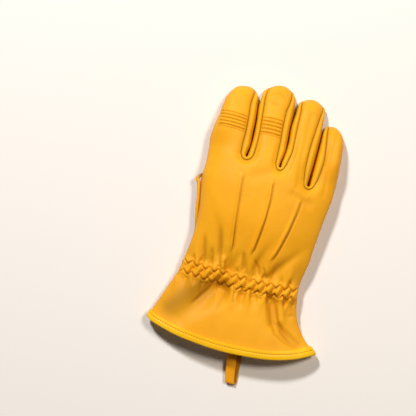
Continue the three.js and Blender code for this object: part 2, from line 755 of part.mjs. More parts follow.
// The thumb bag: rings of points from the hole in the palm to the thumb's tip.
function layThumb(palm, rows, columns) {
  const rim = [];
  for (let j = columns.first; j < columns.last; j += 1) {
    rim.push({ id: palm[rows.first][j], across: j, up: 0 });
  }
  for (let r = rows.first; r < rows.last; r += 1) {
    rim.push({ id: palm[r][columns.last], across: columns.last, up: r });
  }
  for (let j = columns.last; j > columns.first; j -= 1) {
    rim.push({ id: palm[rows.last][j], across: j, up: rows.last });
  }
  for (let r = rows.last; r > rows.first; r -= 1) {
    rim.push({ id: palm[r][columns.first], across: columns.first, up: r });
  }
  const spot = rim.map((step) => ({
    a: (2 * (step.across - columns.first)) / (columns.last - columns.first) - 1,
    b: step.up === 0 ? 0 : (step.up - rows.first) / (rows.last - rows.first),
  }));
  const hinge = skin[palm[rows.last][Math.round((columns.first + columns.last) / 2)]];
  const rings = [rim.map((step) => step.id)];
  for (const bend of THUMB_ELBOW) {
    const angle = (bend.angle * Math.PI) / 180;
    rings.push(
      spot.map(({ a, b }) => {
        const reach = (1 - b) * bend.depth;
        const y = hinge.y + bend.forward - reach * Math.cos(angle);
        const z = Math.max(0, hinge.z - bend.down - reach * Math.sin(angle));
        const squeeze = 1 - THUMB_CORNER * Math.abs(2 * b - 1) ** 3;
        const share = (a * squeeze + 1) / 2;
        return point(mix(read(THUMB, "left", y), read(THUMB, "right", y), share), y, z);
      }),
    );
  }
  for (const row of THUMB.slice(THUMB_FIRST_RING)) {
    rings.push(
      spot.map(({ a, b }) => {
        const squeeze = 1 - THUMB_CORNER * Math.abs(2 * b - 1) ** 3;
        const round = b > 0.5 ? 0.25 * Math.abs(a) ** 6 : 0;
        const z = mix(row.under, row.top, mix(b, 0.5, round));
        return point(mix(row.left, row.right, (a * squeeze + 1) / 2), row.y, z);
      }),
    );
  }
  for (let k = 0; k + 1 < rings.length; k += 1) {
    rings[k].forEach((_, i) => {
      const n = (i + 1) % rings[k].length;
      face("thumb", rings[k][i], rings[k + 1][i], rings[k + 1][n], rings[k][n]);
    });
  }
  const end = rings[rings.length - 1];
  const tip = point(THUMB_TIP.x, THUMB_TIP.y, THUMB_TIP.z);
  end.forEach((id, i) => face("thumb", id, tip, end[(i + 1) % end.length]));
}

// Direction that each skin point faces, from all the faces that meet there.
function skinNormals() {
  const normals = skin.map(() => new THREE.Vector3());
  for (const faces of panels.values()) {
    for (const ring of faces) {
      for (let i = 1; i + 1 < ring.length; i += 1) {
        const [a, b, c] = [skin[ring[0]], skin[ring[i]], skin[ring[i + 1]]];
        const n = b.clone().sub(a).cross(c.clone().sub(a));
        [ring[0], ring[i], ring[i + 1]].forEach((id) => normals[id].add(n));
      }
    }
  }
  normals.forEach((n) => n.normalize());
  for (const row of stripRows) {
    const [first, last] = [normals[row[0]], normals[row[row.length - 1]]];
    for (let c = 1; c + 1 < row.length; c += 1) {
      normals[row[c]].copy(first).lerp(last, STRIP_SHARES[c]).normalize();
    }
  }
  return normals;
}

// A closed solid from a set of faces: an outer face, an inner face and a rim.
// Both pieces at a seam split their rims along the same diagonal.
function sheetSolid(faces, normals, above, below) {
  const edges = new Map();
  for (const ring of faces) {
    ring.forEach((a, i) => {
      const b = ring[(i + 1) % ring.length];
      edges.set(`${a}_${b}`, { a, b, ring });
    });
  }
  const border = [...edges.values()].filter((e) => !edges.has(`${e.b}_${e.a}`));
  const inward = new Map();
  for (const edge of border) {
    const n = ringNormal(edge.ring);
    const along = skin[edge.b].clone().sub(skin[edge.a]).normalize();
    const into = n.cross(along).normalize();
    [edge.a, edge.b].forEach((id) => {
      inward.set(id, [...(inward.get(id) ?? []), into]);
    });
  }
  const outer = new Map();
  const inner = new Map();
  const positions = [];
  const used = new Set(faces.flat());
  for (const id of used) {
    const at = skin[id].clone();
    const ways = inward.get(id);
    if (ways) {
      const sum = ways.reduce((s, w) => s.add(w), new THREE.Vector3());
      const scale = SEAM_GAP / 2 / Math.max(0.5, sum.lengthSq() / 2);
      at.addScaledVector(sum, scale);
    }
    outer.set(id, positions.length);
    positions.push(at.clone().addScaledVector(normals[id], above));
    inner.set(id, positions.length);
    positions.push(at.clone().addScaledVector(normals[id], below));
  }
  const triangles = [];
  for (const ring of faces) {
    for (let i = 1; i + 1 < ring.length; i += 1) {
      const ids = [ring[0], ring[i], ring[i + 1]];
      triangles.push(ids.map((id) => outer.get(id)));
      triangles.push(ids.map((id) => inner.get(id)).reverse());
    }
  }
  for (const { a, b } of border) {
    const [outA, outB, inA, inB] = [outer.get(a), outer.get(b), inner.get(a), inner.get(b)];
    if (a < b) {
      triangles.push([outB, outA, inB], [outA, inA, inB]);
    } else {
      triangles.push([outB, outA, inA], [outB, inA, inB]);
    }
  }
  return { positions, triangles };
}

function ringNormal(ring) {
  const [a, b, c] = [skin[ring[0]], skin[ring[1]], skin[ring[2]]];
  return b.clone().sub(a).cross(c.clone().sub(a)).normalize();
}

// A closed band: a row of profile points at each step, joined into a ring or capped.
function bandSolid(profiles, closed, turned = []) {
  const positions = profiles.flat();
  const triangles = [];
  const width = profiles[0].length;
  const steps = closed ? profiles.length : profiles.length - 1;
  for (let i = 0; i < steps; i += 1) {
    const next = (i + 1) % profiles.length;
    for (let k = 0; k < width; k += 1) {
      const m = (k + 1) % width;
      const [a, b] = [i * width + k, i * width + m];
      const [c, d] = [next * width + m, next * width + k];
      if (turned.includes(k)) {
        triangles.push([a, b, d], [b, c, d]);
      } else {
        triangles.push([a, b, c], [a, c, d]);
      }
    }
  }
  if (!closed) {
    const end = (profiles.length - 1) * width;
    for (let k = 1; k + 1 < width; k += 1) {
      triangles.push([0, k + 1, k]);
      triangles.push([end, end + k, end + k + 1]);
    }
  }
  return { positions, triangles };
}

// The hem binding: a folded strip over the edge, round the whole mouth of the cuff.
function bindingSolid(back, palm, normals) {
  const last = back[0].length - 1;
  const loop = [];
  for (let j = 0; j <= last; j += 1) {
    loop.push([back[0][j], back[BINDING_ROW][j]]);
  }
  for (let j = last - 1; j > 0; j -= 1) {
    loop.push([palm[0][j], palm[BINDING_ROW][j]]);
  }
  const out = SEAM_GAP + BINDING_WALL;
  const inn = -WALL - SEAM_GAP;
  const profiles = loop.map(([hemId, upId]) => {
    const hem = skin[hemId];
    const up = skin[upId];
    const past = hem.clone().sub(up).normalize();
    const place = (base, id, forward, lift) =>
      base.clone().addScaledVector(past, forward).addScaledVector(normals[id], lift);
    return [
      place(up, upId, 0, SEAM_GAP),
      place(up, upId, 0, out),
      place(hem, hemId, out - BINDING_EDGE, out),
      place(hem, hemId, out, out - BINDING_EDGE),
      place(hem, hemId, out, inn - BINDING_WALL),
      place(up, upId, 0, inn - BINDING_WALL),
      place(up, upId, 0, inn),
      place(hem, hemId, SEAM_GAP, inn),
      place(hem, hemId, SEAM_GAP, SEAM_GAP),
    ];
  });
  return bandSolid(profiles, true, BINDING_TURNED);
}

// The pull loop: one strap that runs out, folds over at its end and runs back.
function loopSolid() {
  const line = [];
  for (const row of LOOP) {
    line.push({ x: row.x, y: row.y, z: row.low, thick: LOOP_WALL });
  }
  const end = LOOP[LOOP.length - 1];
  const fold = { x: end.x + LOOP_SHIFT / 2, y: end.y - LOOP_TURN };
  const inside = line.map((p) => new THREE.Vector3(p.x, p.y, p.z + LOOP_WALL));
  const outside = line.map((p) => new THREE.Vector3(p.x, p.y, p.z));
  outside.push(new THREE.Vector3(fold.x, fold.y - LOOP_WALL, end.low + 0.4));
  inside.push(new THREE.Vector3(fold.x, fold.y + 0.5, end.low + LOOP_WALL + 0.3));
  outside.push(new THREE.Vector3(fold.x, fold.y - LOOP_WALL, end.high + LOOP_WALL - 0.4));
  inside.push(new THREE.Vector3(fold.x, fold.y + 0.5, end.high - 0.3));
  for (const row of [...LOOP].reverse()) {
    outside.push(new THREE.Vector3(row.x + LOOP_SHIFT, row.y, row.high + LOOP_WALL));
    inside.push(new THREE.Vector3(row.x + LOOP_SHIFT, row.y, row.high));
  }
  const half = new THREE.Vector3(LOOP_WIDTH / 2, 0, 0);
  const profiles = outside.map((p, i) => [
    p.clone().sub(half),
    p.clone().add(half),
    inside[i].clone().add(half),
    inside[i].clone().sub(half),
  ]);
  return bandSolid(profiles, false);
}

// Column range of a row of skin points between two places across.
function columnsBetween(row, from, to) {
  const inside = row.map((id, j) => ({ x: skin[id].x, j })).filter((p) => p.x >= from && p.x <= to);
  return { first: inside[0].j, last: inside[inside.length - 1].j };
}

// Lay out the whole skin
const backGrid = layHand(false, null);
const palmGrid = layHand(true, backGrid);
const topRow = backGrid.length - 1;
const handStart = CUFF_SHARES.length + WRIST_SHARES.length;
const holeRows = {
  first: handStart + THUMB_HOLE.firstShare,
  last: handStart + THUMB_HOLE.lastShare,
};
const holeColumns = columnsBetween(palmGrid[holeRows.last], THUMB_HOLE.from, THUMB_HOLE.to);
for (let r = 0; r < topRow; r += 1) {
  stitchRows("back_panel", backGrid[r], backGrid[r + 1], false);
  const inHole = (j) =>
    r >= holeRows.first && r < holeRows.last && j >= holeColumns.first && j < holeColumns.last;
  stitchRows("palm_panel", palmGrid[r], palmGrid[r + 1], true, (j) => !inHole(j));
}
layThumb(palmGrid, holeRows, holeColumns);

let start = 0;
const fingerGrids = FINGERS.map((finger) => {
  const end = start + finger.columns + 1;
  const back = layFinger(finger, backGrid[topRow].slice(start, end), false, null);
  const palm = layFinger(finger, palmGrid[topRow].slice(start, end), true, back);
  const slit = { back: backGrid[topRow].slice(end, end + 3), palm: palmGrid[topRow].slice(end, end + 3) };
  start = end + 3;
  for (let k = 0; k + 1 < back.length; k += 1) {
    const ribbed = finger.ribs && skin[back[k + 1][1]].y > finger.ribs.first
      && skin[back[k][1]].y < finger.ribs.last;
    if (ribbed) {
      layRibs("back_panel", finger, back, k);
    } else {
      stitchRows("back_panel", back[k], back[k + 1], false);
    }
    stitchRows("palm_panel", palm[k], palm[k + 1], true);
  }
  return { back, palm, slit };
});
const STRIPS = ["side_strip_index_middle", "side_strip_middle_ring", "side_strip_ring_little"];
STRIPS.forEach((name, f) => {
  layStrip(name, f, {
    backA: fingerGrids[f].back,
    palmA: fingerGrids[f].palm,
    backB: fingerGrids[f + 1].back,
    palmB: fingerGrids[f + 1].palm,
    backSlit: fingerGrids[f].slit.back,
    palmSlit: fingerGrids[f].slit.palm,
  });
});
const normals = skinNormals();

// Patches lie on chosen faces of the palm side
function patchFaces(firstRow, lastRow, from, to, measuredRow) {
  const faces = [];
  const { first, last } = columnsBetween(palmGrid[measuredRow], from, to);
  for (let r = firstRow; r < lastRow; r += 1) {
    for (let j = first; j < last; j += 1) {
      const ring = [palmGrid[r][j], palmGrid[r][j + 1], palmGrid[r + 1][j + 1], palmGrid[r + 1][j]];
      faces.push(ring.reverse());
    }
  }
  return faces;
}
const patchStart = handStart + PALM_PATCH.firstShare;
const patchEnd = handStart + PALM_PATCH.lastShare;
const sideStart = handStart + PALM_PATCH.sideShare;
const palmPatchFaces = [
  ...patchFaces(patchStart, patchEnd, PALM_PATCH.from, PALM_PATCH.to, patchStart),
  ...patchFaces(sideStart, patchStart, PALM_PATCH.sideFrom, PALM_PATCH.to, patchStart),
];
const cuffPatchFaces = patchFaces(
  CUFF_PATCH.firstRow,
  CUFF_PATCH.lastRow,
  CUFF_PATCH.from,
  CUFF_PATCH.to,
  CUFF_PATCH.lastRow,
);

// Name, colour and roughness of each piece
const group = new THREE.Group();
group.name = "leather_work_glove";

function addPiece(name, solid, colour, roughness) {
  const geometry = new THREE.BufferGeometry();
  const flat = solid.positions.flatMap((p) => [p.x, p.y, p.z]);
  geometry.setAttribute("position", new THREE.Float32BufferAttribute(flat, 3));
  geometry.setIndex(solid.triangles.flat());
  geometry.computeVertexNormals();
  const material = new THREE.MeshStandardMaterial({ color: colour, roughness, metalness: 0 });
  const mesh = new THREE.Mesh(geometry, material);
  mesh.name = name;
  group.add(mesh);
}

for (const name of ["back_panel", "palm_panel", "thumb"]) {
  addPiece(name, sheetSolid(panels.get(name), normals, 0, -WALL), COLOURS.leather, 0.5);
}
for (const name of STRIPS) {
  addPiece(name, sheetSolid(panels.get(name), normals, 0, -WALL), COLOURS.strip, 0.5);
}
const patchOuter = SEAM_GAP + PATCH_WALL;
addPiece("palm_patch", sheetSolid(palmPatchFaces, normals, patchOuter, SEAM_GAP), COLOURS.patch, 0.7);
addPiece("cuff_patch", sheetSolid(cuffPatchFaces, normals, patchOuter, SEAM_GAP), COLOURS.patch, 0.7);
addPiece("cuff_binding", bindingSolid(backGrid, palmGrid, normals), COLOURS.binding, 0.45);
addPiece("pull_loop", loopSolid(), COLOURS.loop, 0.6);

export default group;
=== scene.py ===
# %% [markdown]
# A leather work glove for the right hand, lying on its palm with the thumb folded beneath.
# The lesson follows the glove maker. The skin of the whole hand is laid out first, as rows
# of points in millimetres. It is then cut along its seams into panels, which get the
# leather's thickness, and the patches, binding, loop and stitches are added to them.
# A glove could also be sculpted from one lump of mesh. Panels were chosen because the real
# glove is sewn from flat pieces, so that seams, edges and stitches fall where they belong.

# %% Load the frame
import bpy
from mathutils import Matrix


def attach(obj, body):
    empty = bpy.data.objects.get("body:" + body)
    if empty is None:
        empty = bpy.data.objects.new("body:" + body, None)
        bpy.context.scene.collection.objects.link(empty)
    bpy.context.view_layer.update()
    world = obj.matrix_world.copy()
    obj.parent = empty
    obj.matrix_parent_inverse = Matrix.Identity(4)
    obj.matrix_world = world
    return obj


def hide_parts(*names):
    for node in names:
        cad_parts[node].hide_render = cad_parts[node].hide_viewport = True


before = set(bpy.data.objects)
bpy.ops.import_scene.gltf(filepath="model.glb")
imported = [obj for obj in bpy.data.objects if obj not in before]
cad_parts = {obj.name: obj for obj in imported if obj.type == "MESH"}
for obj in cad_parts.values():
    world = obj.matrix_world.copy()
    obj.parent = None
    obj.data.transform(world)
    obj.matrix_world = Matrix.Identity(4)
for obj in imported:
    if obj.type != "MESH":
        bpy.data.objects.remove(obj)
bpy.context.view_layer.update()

# %% Imports and the unit
import math
import bpy
import numpy as np
from mathutils import Matrix, Vector
from mathutils.bvhtree import BVHTree

MM = 0.001
print("one millimetre is", MM, "metres in Blender")

# %% [markdown]
# Nothing on a glove is straight, yet it can be measured: how wide and how high is it, every
# few centimetres? Such a list is a table here, with one row for each place measured, and
# read() draws a smooth curve through one of its columns. Bezier curves moved by hand would
# do as well. Tables were chosen because every number stays a size that a maker can check.

# %% Tables and smooth curves


def table(names, *rows):
    """Columns by name, from one row per station."""
    return dict(zip(names.split(), np.array(rows, float).T))


def mix(a, b, t):
    """A part of the way from a to b."""
    return a + (b - a) * t


def ease(value):
    """A step from 0 to 1 that starts and ends softly."""
    t = np.clip(value, 0, 1)
    return t * t * (3 - 2 * t)


def read(tab, column, at, place="y"):
    """A smooth curve through one column of a table."""
    x, y = tab[place], tab[column]
    at = np.clip(np.asarray(at, float), x[0], x[-1])
    slope = np.empty_like(y)
    slope[1:-1] = (y[2:] - y[:-2]) / (x[2:] - x[:-2])
    slope[0] = (y[1] - y[0]) / (x[1] - x[0])
    slope[-1] = (y[-1] - y[-2]) / (x[-1] - x[-2])
    i = np.clip(np.searchsorted(x, at, "right") - 1, 0, len(x) - 2)
    span = x[i + 1] - x[i]
    t = (at - x[i]) / span
    chord = (y[i + 1] - y[i]) / span
    bend = (1 - t) * slope[i] - t * slope[i + 1]
    return mix(y[i], y[i + 1], t) + t * (1 - t) * span * (bend - (1 - 2 * t) * chord)


print("halfway between 2 and 6 is", mix(2, 6, 0.5), "and ease(0.25) is", float(ease(0.25)))

# %% Distances to a path


def path_distance(x, y, path):
    """Distance to a path of straight pieces, the side it lies on, and the share walked along it."""
    best = np.full(np.shape(x), 1e9)
    side, walked = np.zeros(np.shape(x)), np.zeros(np.shape(x))
    for leg, ((ax, ay), (bx, by)) in enumerate(zip(path[:-1], path[1:])):
        dx, dy = bx - ax, by - ay
        t = np.clip(((x - ax) * dx + (y - ay) * dy) / (dx * dx + dy * dy), 0, 1)
        away = np.hypot(x - ax - dx * t, y - ay - dy * t)
        near = away < best
        best = np.where(near, away, best)
        side = np.where(near, np.sign((x - ax) * dy - (y - ay) * dx), side)
        walked = np.where(near, (leg + t) / (len(path) - 1), walked)
    return best, side, walked


def gauss(distance, reach):
    """A soft bump: 1 on a path, and nearly 0 at twice its reach."""
    return np.exp(-((distance / reach) ** 2))


print("a point 3 mm beside a path is", float(path_distance(3, 5, ((0, 0), (0, 10)))[0]), "mm away")

# %% [markdown]
# The form is what the leather keeps from the hand: high in the middle of the back, low at
# the sides, and dented where it folds. Underneath, the palm is raised by the folded thumb.
# It could be pushed into shape with sculpt brushes or a cloth simulation. Heights worked out
# from tables were chosen, because they come out the same each time, and because every panel,
# seam and stitch can ask for the height at its own place.

# %% Sizes of the form
LITTLE_SIDE_DROP = 6.0
TABLE_LIFT = 1.36
PALM_LIFT = 13.2
PALM_BULGE = 6.2
HEIGHTS = table(
    "y crown edge",
    (-8, 24, 9), (20, 24, 9), (45, 23, 9), (62, 23, 10), (76, 25, 11), (95, 30, 13),
    (120, 35, 15), (150, 36, 15), (175, 33.5, 13), (190, 30.5, 11), (205, 26.8, 9.5),
    (225, 21.5, 8), (250, 17.5, 6),
)
DENTS = table(
    "x1 y1 x2 y2 x3 y3 reach depth faded",
    (22, 53, 29, 31, 56, 15, 4.4, 4.4, 0.3),
    (37, 52, 43, 34, 60, 20, 4.2, 2.4, 0.6),
    (-30, 54, -41, 37, -58, 19, 8.5, 6.6, 0.7),
    (-22, 54, -23, 42, -27, 27, 4.6, 2.8, 1),
    (-6, 54, -5, 45, -4, 34, 3.8, 2.2, 1),
    (6, 55, 8, 47, 11, 38, 3.6, 2.0, 1),
    (44, 52, 48, 42, 54, 30, 3.4, 1.8, 1),
    (-50, 74, -52, 88, -53, 104, 3.6, 2.6, 1),
    (-33, 78, -40, 108, -52, 130, 4.2, 2.4, 0.9),
    (-41, 72, -43, 84, -46, 96, 2.6, 1.5, 1),
    (-24, 70, -27, 84, -30, 100, 3.2, 2.0, 1),
    (-20, 70, -17, 83, -10, 99, 3.5, 2.8, 1),
    (-2, 68, 6, 91, 14, 112, 3.6, 3.0, 1),
    (15, 71, 29, 89, 45, 106, 4.0, 3.8, 0.8),
    (36, 70, 40, 80, 44, 92, 3.2, 1.8, 1),
    (-4, 168, -10, 165, -16, 162, 5, 1.2, 0.2),
    (22, 152, 30, 149, 38, 147, 4.4, 1.0, 0.2),
    (24, 160, 23, 185, 24, 228, 2.6, 0.9, 0.2),
    (50, 158, 49, 185, 51, 216, 2.4, 0.9, 0.2),
)
print(len(DENTS["reach"]), "dents in the leather")

# %% Form of the hand


def crown_at(x, y):
    """Height of the back, which falls away toward the little finger."""
    fall = ease((x - 5) / 55) * ease((y - 60) / 50)
    return read(HEIGHTS, "crown", y) - LITTLE_SIDE_DROP * fall


def edge_at(y):
    """Height of the widest line at the hand's sides."""
    return read(HEIGHTS, "edge", y)


def floor_at(x, y):
    """Height of the palm: low at the cuff and the fingers, and raised where the thumb lies."""
    across = ease((x + 60) / 10) * ease((29 - x) / 11)
    along = ease((y - 74) / 12) * ease((203 - y) / 17)
    rest = TABLE_LIFT * ease((196 - y) / 16)
    return mix(rest, PALM_LIFT, across * along)


def dent_at(x, y):
    """Depth of the soft dents, which fade toward their far ends."""
    depth = np.zeros(np.shape(x))
    for x1, y1, x2, y2, x3, y3, reach, deep, faded in zip(*DENTS.values()):
        away, _, walked = path_distance(x, y, [(x1, y1), (x2, y2), (x3, y3)])
        depth += deep * gauss(away, reach) * (1 - faded * ease(walked))
    return depth


def palm_bulge(place, y):
    """How far the folded thumb pushes the palm's side out, beside the index finger's root."""
    along = ease((y - 88) / 22) * ease((160 - y) / 8)
    return PALM_BULGE * along * np.sin(np.clip((place + 1) / 0.22, 0, 1) * math.pi)


print("the back is", round(float(crown_at(0, 150)), 1), "mm high above the knuckles")

# %% [markdown]
# Elastic inside the wrist gathers the leather along two zigzag rows of stitches. The stitch
# lines are held down, and the leather puffs up between and beside them.
# A bump map could draw this, but flat leather with drawn folds casts no shadows. So the
# gathers are a sum: waves across the hand, in step with the teeth of the zigzag, which
# broaden and die away with the distance from the rows.

# %% The two zigzag rows
GATHER_ROWS = table("left right sag", (72.2, 66.2, 2.6), (62.3, 57.0, 3.2))
ZIGZAG = table("period first swing", (8.5, -57, 2.4), (8.0, -56, 2.3))
WRIST_LEFT = -66
WRIST_WIDTH = 112
SLANT = 0.66


def row_mean(row, share):
    """The middle line of a zigzag row, which sags between the two edges of the wrist."""
    left, right, sag = (GATHER_ROWS[k][row] for k in ("left", "right", "sag"))
    return mix(left, right, share) - 4 * sag * share * (1 - share)


def phase_at(x, row, shift=0.0):
    """How many teeth along a row a place is."""
    return (x - ZIGZAG["first"][row] - shift) / ZIGZAG["period"][row]


def row_y(row, x):
    """Height of the zigzag stitch line at x: its mean line plus the swing."""
    mean = row_mean(row, np.clip((x - WRIST_LEFT) / WRIST_WIDTH, 0, 1))
    wave = np.arccos(np.clip(np.cos(phase_at(x, row) * 2 * math.pi), -1, 1)) / math.pi
    return mean + ZIGZAG["swing"][row] * (1 - 2 * wave)


def stitch_distance(x, y):
    """How far a point is from the nearer zigzag line, square to its slant."""
    return np.minimum(np.abs(y - row_y(0, x)), np.abs(y - row_y(1, x))) * SLANT


print("the rows swing by", ZIGZAG["swing"], "mm")

# %% Puffs and folds of the gathers
GATHER_LIFT = 2.3


def crest(x, row, shift):
    """Waves across the hand, highest where the zigzag peaks when shift is 0."""
    return np.cos(phase_at(x, row, shift) * 2 * math.pi)


def puff(x, row, shift):
    """The same waves with full crests and sharp valleys."""
    return 2 * np.abs(np.cos(phase_at(x, row, shift) * math.pi)) ** 0.6 - 1


def fading_waves(x, row, shift, away, broad, reach):
    """Puffs at the stitches that turn into plain waves, then broad folds, and die away."""
    near = mix(puff(x, row, shift), crest(x, row, shift), ease(away / 4))
    return mix(near, broad, ease(away / 10)) * gauss(away, reach)


def gathers(x, y):
    """Lift of the gathered leather, between the rows and on both sides of them."""
    upper, lower = row_y(0, x), row_y(1, x)
    between = np.clip((upper - y) / np.maximum(upper - lower, 1), 0, 1)
    half = ZIGZAG["period"][0] / 2
    away = np.maximum(y - upper, lower - y)
    broad = 0.9 * np.cos(x * 0.37 + 1.1 * np.sin(x * 0.09 + 0.6) + 0.02 * (y - 70))
    above = fading_waves(x, 0, half, away, broad, 15.0)
    below = fading_waves(x, 1, 0, away, broad, 12.0)
    inside = (y < upper) & (y > lower)
    wave = np.where(inside, puff(x, 0, -half * between), np.where(y >= upper, above, below))
    return GATHER_LIFT * wave * (1 - gauss(stitch_distance(x, y), 1.3))


print("the gathers rise to", GATHER_LIFT, "mm")

# %% [markdown]
# Ribs over the knuckles of the index and middle finger are rows of stitches that pinch the
# leather into soft ridges, so that it bends easily. Separate rounded bars would look stuck
# on. Here a wave with sharp valleys lifts the back itself, and the stitches go in the valleys.

# %% Ribs over two knuckles
RIB_ARCH = 0.8
RIB_HEIGHT = 1.9
RIB_SINK = 1.0
RIBS = table(
    "from to first pitch slope count",
    (-60.5, -33.6, 203.2, 3.25, 0.055, 5),
    (-21.2, 0.4, 203.6, 3.6, 0.02, 5),
)


def rib_arch(x, x0, x1):
    """How far the ribs arch toward the fingertip in the middle of the finger."""
    return RIB_ARCH * (1 - ((x - (x0 + x1) / 2) / ((x1 - x0) / 2)) ** 2)


def ribs(x, y):
    """Ridges over the knuckles: their lift, and how deep a point lies in a groove."""
    lift, groove = np.zeros(np.shape(x)), np.zeros(np.shape(x))
    for x0, x1, first, pitch, slope, count in zip(*RIBS.values()):
        phase = (y - first - rib_arch(x, x0, x1) + slope * (x - (x0 + x1) / 2)) / pitch
        across = ease((x - x0) / 1.6) * ease((x1 - x) / 1.6)
        along = ease((phase + 0.5) / 0.35) * ease((count - 0.5 - phase) / 0.35)
        ridge = np.abs(np.sin(np.clip(phase, -0.5, count - 0.5) * math.pi)) ** 0.6
        lift += across * along * (RIB_HEIGHT * ridge - RIB_SINK)
        groove += across * along * (1 - ridge) ** 1.4
    return lift, groove


print("ribs for", len(RIBS["from"]), "fingers")

# %% [markdown]
# A pin tuck is a pinched ridge of leather with a line of stitches beside it. Three of them
# run from the slits between the fingers toward the wrist. They could be tubes joined to the
# back, but a tuck has no gap beneath it. So each is a narrow ridge in the height, with a
# crease on its right, and the shade of that crease is kept for the leather's colour.

# %% Pin tucks
TUCKS = table("top bottom head foot", (163, 86, -28, -23), (162, 88, 1.0, -5), (150, 86, 30.2, 14))
TUCK_RIDGE = 2.0
TUCK_DEPTH = 1.2
TUCK_BENDS = ((0, 0.16, 0.38, 0.66, 1), (0, -0.12, 0.05, 0.5, 1), (0, 0.16, 0.38, 0.66, 1))


def tuck_paths():
    """The three tucks as paths in plan, from their heads to their feet."""
    for top, bottom, head, foot, bend in zip(*TUCKS.values(), TUCK_BENDS):
        shares = zip((0, 0.25, 0.5, 0.75, 1), bend)
        yield [(mix(head, foot, b), mix(top, bottom, a)) for a, b in shares]


def tucks(x, y):
    """Pin tucks: a narrow ridge with a stitched crease on its right."""
    lift, groove = np.zeros(np.shape(x)), np.zeros(np.shape(x))
    for path in tuck_paths():
        away, side, _ = path_distance(x, y, path)
        signed = -away * side
        fade = ease((y - path[-1][1]) / 9) * ease((path[0][1] - y) / 5)
        ridge, valley = gauss(signed + 1.0, 1.2), gauss(signed - 1.1, 1.0)
        lift += fade * (TUCK_RIDGE * ridge - TUCK_DEPTH * valley)
        groove += fade * gauss(signed - 1.0, 1.15)
    return lift, groove


print("tuck lengths", [round(float(t)) for t in TUCKS["top"] - TUCKS["bottom"]], "mm")

# %% [markdown]
# Worn leather keeps single creases where it has folded before. Each one here is a path with
# a width and a height, below zero for a fold and above it for a raised one. Noise would
# give creases too, but not these, which cross the middle fingertip, fan out from the
# gathers and swing down the cuff.

# %% Single creases
CREASES = (
    (1.0, -1.0, ((-19, 240), (-15, 243.4), (-10, 244.2), (-5, 242.2), (-1, 238))),
    (1.2, -0.6, ((-17, 233.5), (-12, 231.6), (-7, 232.4))),
    (1.6, -0.9, ((12.5, 168), (14.6, 182), (16.4, 200), (17, 214))),
    (1.2, -0.9, ((42, 168), (44.6, 184), (45.6, 200), (46.8, 214))),
    (1.6, -1.1, ((22, 52), (24, 43), (26.3, 34.4), (32.3, 21.9), (44.9, 14.6), (56.2, 13.7))),
    (1.4, -1.5, ((26, 52), (29, 42), (32, 34), (39.3, 23.3), (45.9, 17.6), (50.2, 15.8))),
    (1.3, -0.8, ((41, 40.5), (45, 42), (51, 42.5))),
    (2.0, 2.4, ((-28.2, 71), (-29.2, 78), (-30, 84))),
    (1.9, -1.7, ((-50.8, 98), (-48.4, 84), (-45.9, 73))),
    (1.3, -1.3, ((-41.2, 88), (-39.4, 75))),
    (1.9, -1.8, ((-38, 108), (-34.4, 90), (-32.8, 78))),
    (1.6, -1.5, ((-12, 90), (-10, 82), (-8, 74))),
    (1.3, -1.2, ((-1, 86), (4.3, 78.5), (6, 72))),
    (1.3, -1.2, ((9, 80), (11.5, 75), (13.7, 71))),
    (1.5, -1.3, ((-36, 51.5), (-41.3, 44.8), (-50.2, 32.6))),
    (1.4, -1.2, ((-21.5, 54), (-22.3, 46), (-25.4, 32))),
    (1.2, -1.0, ((-13, 52), (-12, 41))),
    (1.2, -1.0, ((-5.8, 53), (-5, 42))),
    (1.2, -1.0, ((33.5, 54.5), (36.9, 46))),
)


def creases(x, y):
    """Single folds and one raised leaf: their lift, and the painted shade in the folds."""
    lift, dark = np.zeros(np.shape(x)), np.zeros(np.shape(x))
    for reach, height, path in CREASES:
        away, _, walked = path_distance(x, y, path)
        fade = 1 - 0.8 * np.abs(2 * walked - 1) ** 3
        lift += height * fade * gauss(away, reach)
        # painted shade along each fold
        dark += 0.34 * max(0, -height) * fade * gauss(away, reach * 0.8)
    return lift, dark


print(len(CREASES), "creases")

# %% The whole relief of the back
STITCH_GROOVE = 1.1
# path of a broad patch of painted shade on the slope of the cuff's big left dent
DARK_ZONE = ((-47, 51), (-59, 39), (-70, 27))


def back_relief(x, y):
    """The fine lift of the leather, and its painted shade in creases, grooves and folds, from 0 to
    1.
    """
    rib_lift, rib_groove = ribs(x, y)
    tuck_lift, tuck_groove = tucks(x, y)
    stitched = gauss(stitch_distance(x, y), 0.6)
    soft = 0.12 * np.sin(x * 0.31 + 0.7 * np.sin(y * 0.09)) * np.sin(y * 0.13 + 1.3)
    deeper = -0.4 * dent_at(x, y) * ease((70 - y) / 20)
    crease_lift, crease_dark = creases(x, y)
    lift = gathers(x, y) - STITCH_GROOVE * stitched + rib_lift + tuck_lift + crease_lift
    # painted shade: a broad dark patch on the cuff's left dent, and darker dents, gather valleys,
    # stitch, rib and tuck grooves and creases
    cuff_dent_shade = 0.85 * gauss(path_distance(x, y, DARK_ZONE)[0], 9.5)
    folds = 0.07 * dent_at(x, y) + 0.22 * np.clip(-gathers(x, y) / GATHER_LIFT, 0, 1)
    crease = 0.5 * stitched + 0.9 * rib_groove + 0.56 * tuck_groove + cuff_dent_shade + folds + crease_dark
    return lift + soft + deeper, np.clip(crease, 0, 1)


def form_share(relief):
    """The part of the relief that bends the whole wall, so that no fold cuts through it."""
    return np.where(relief < -0.5, relief + 0.5, 0) + 0.4 * np.maximum(relief, 0)


print("the smooth back's crease shade is", float(back_relief(0.0, 120.0)[1]), "of 1")

# %% [markdown]
# The skin is the outer face of the whole glove, as one long list of points. A panel is a set
# of four-cornered faces on it, and two panels that are sewn together share the points of
# their seam. Panels could be separate meshes joined afterwards, but then a seam would gape
# or cross wherever two meshes disagree. With shared points, it can't.

# %% The skin as a list of points


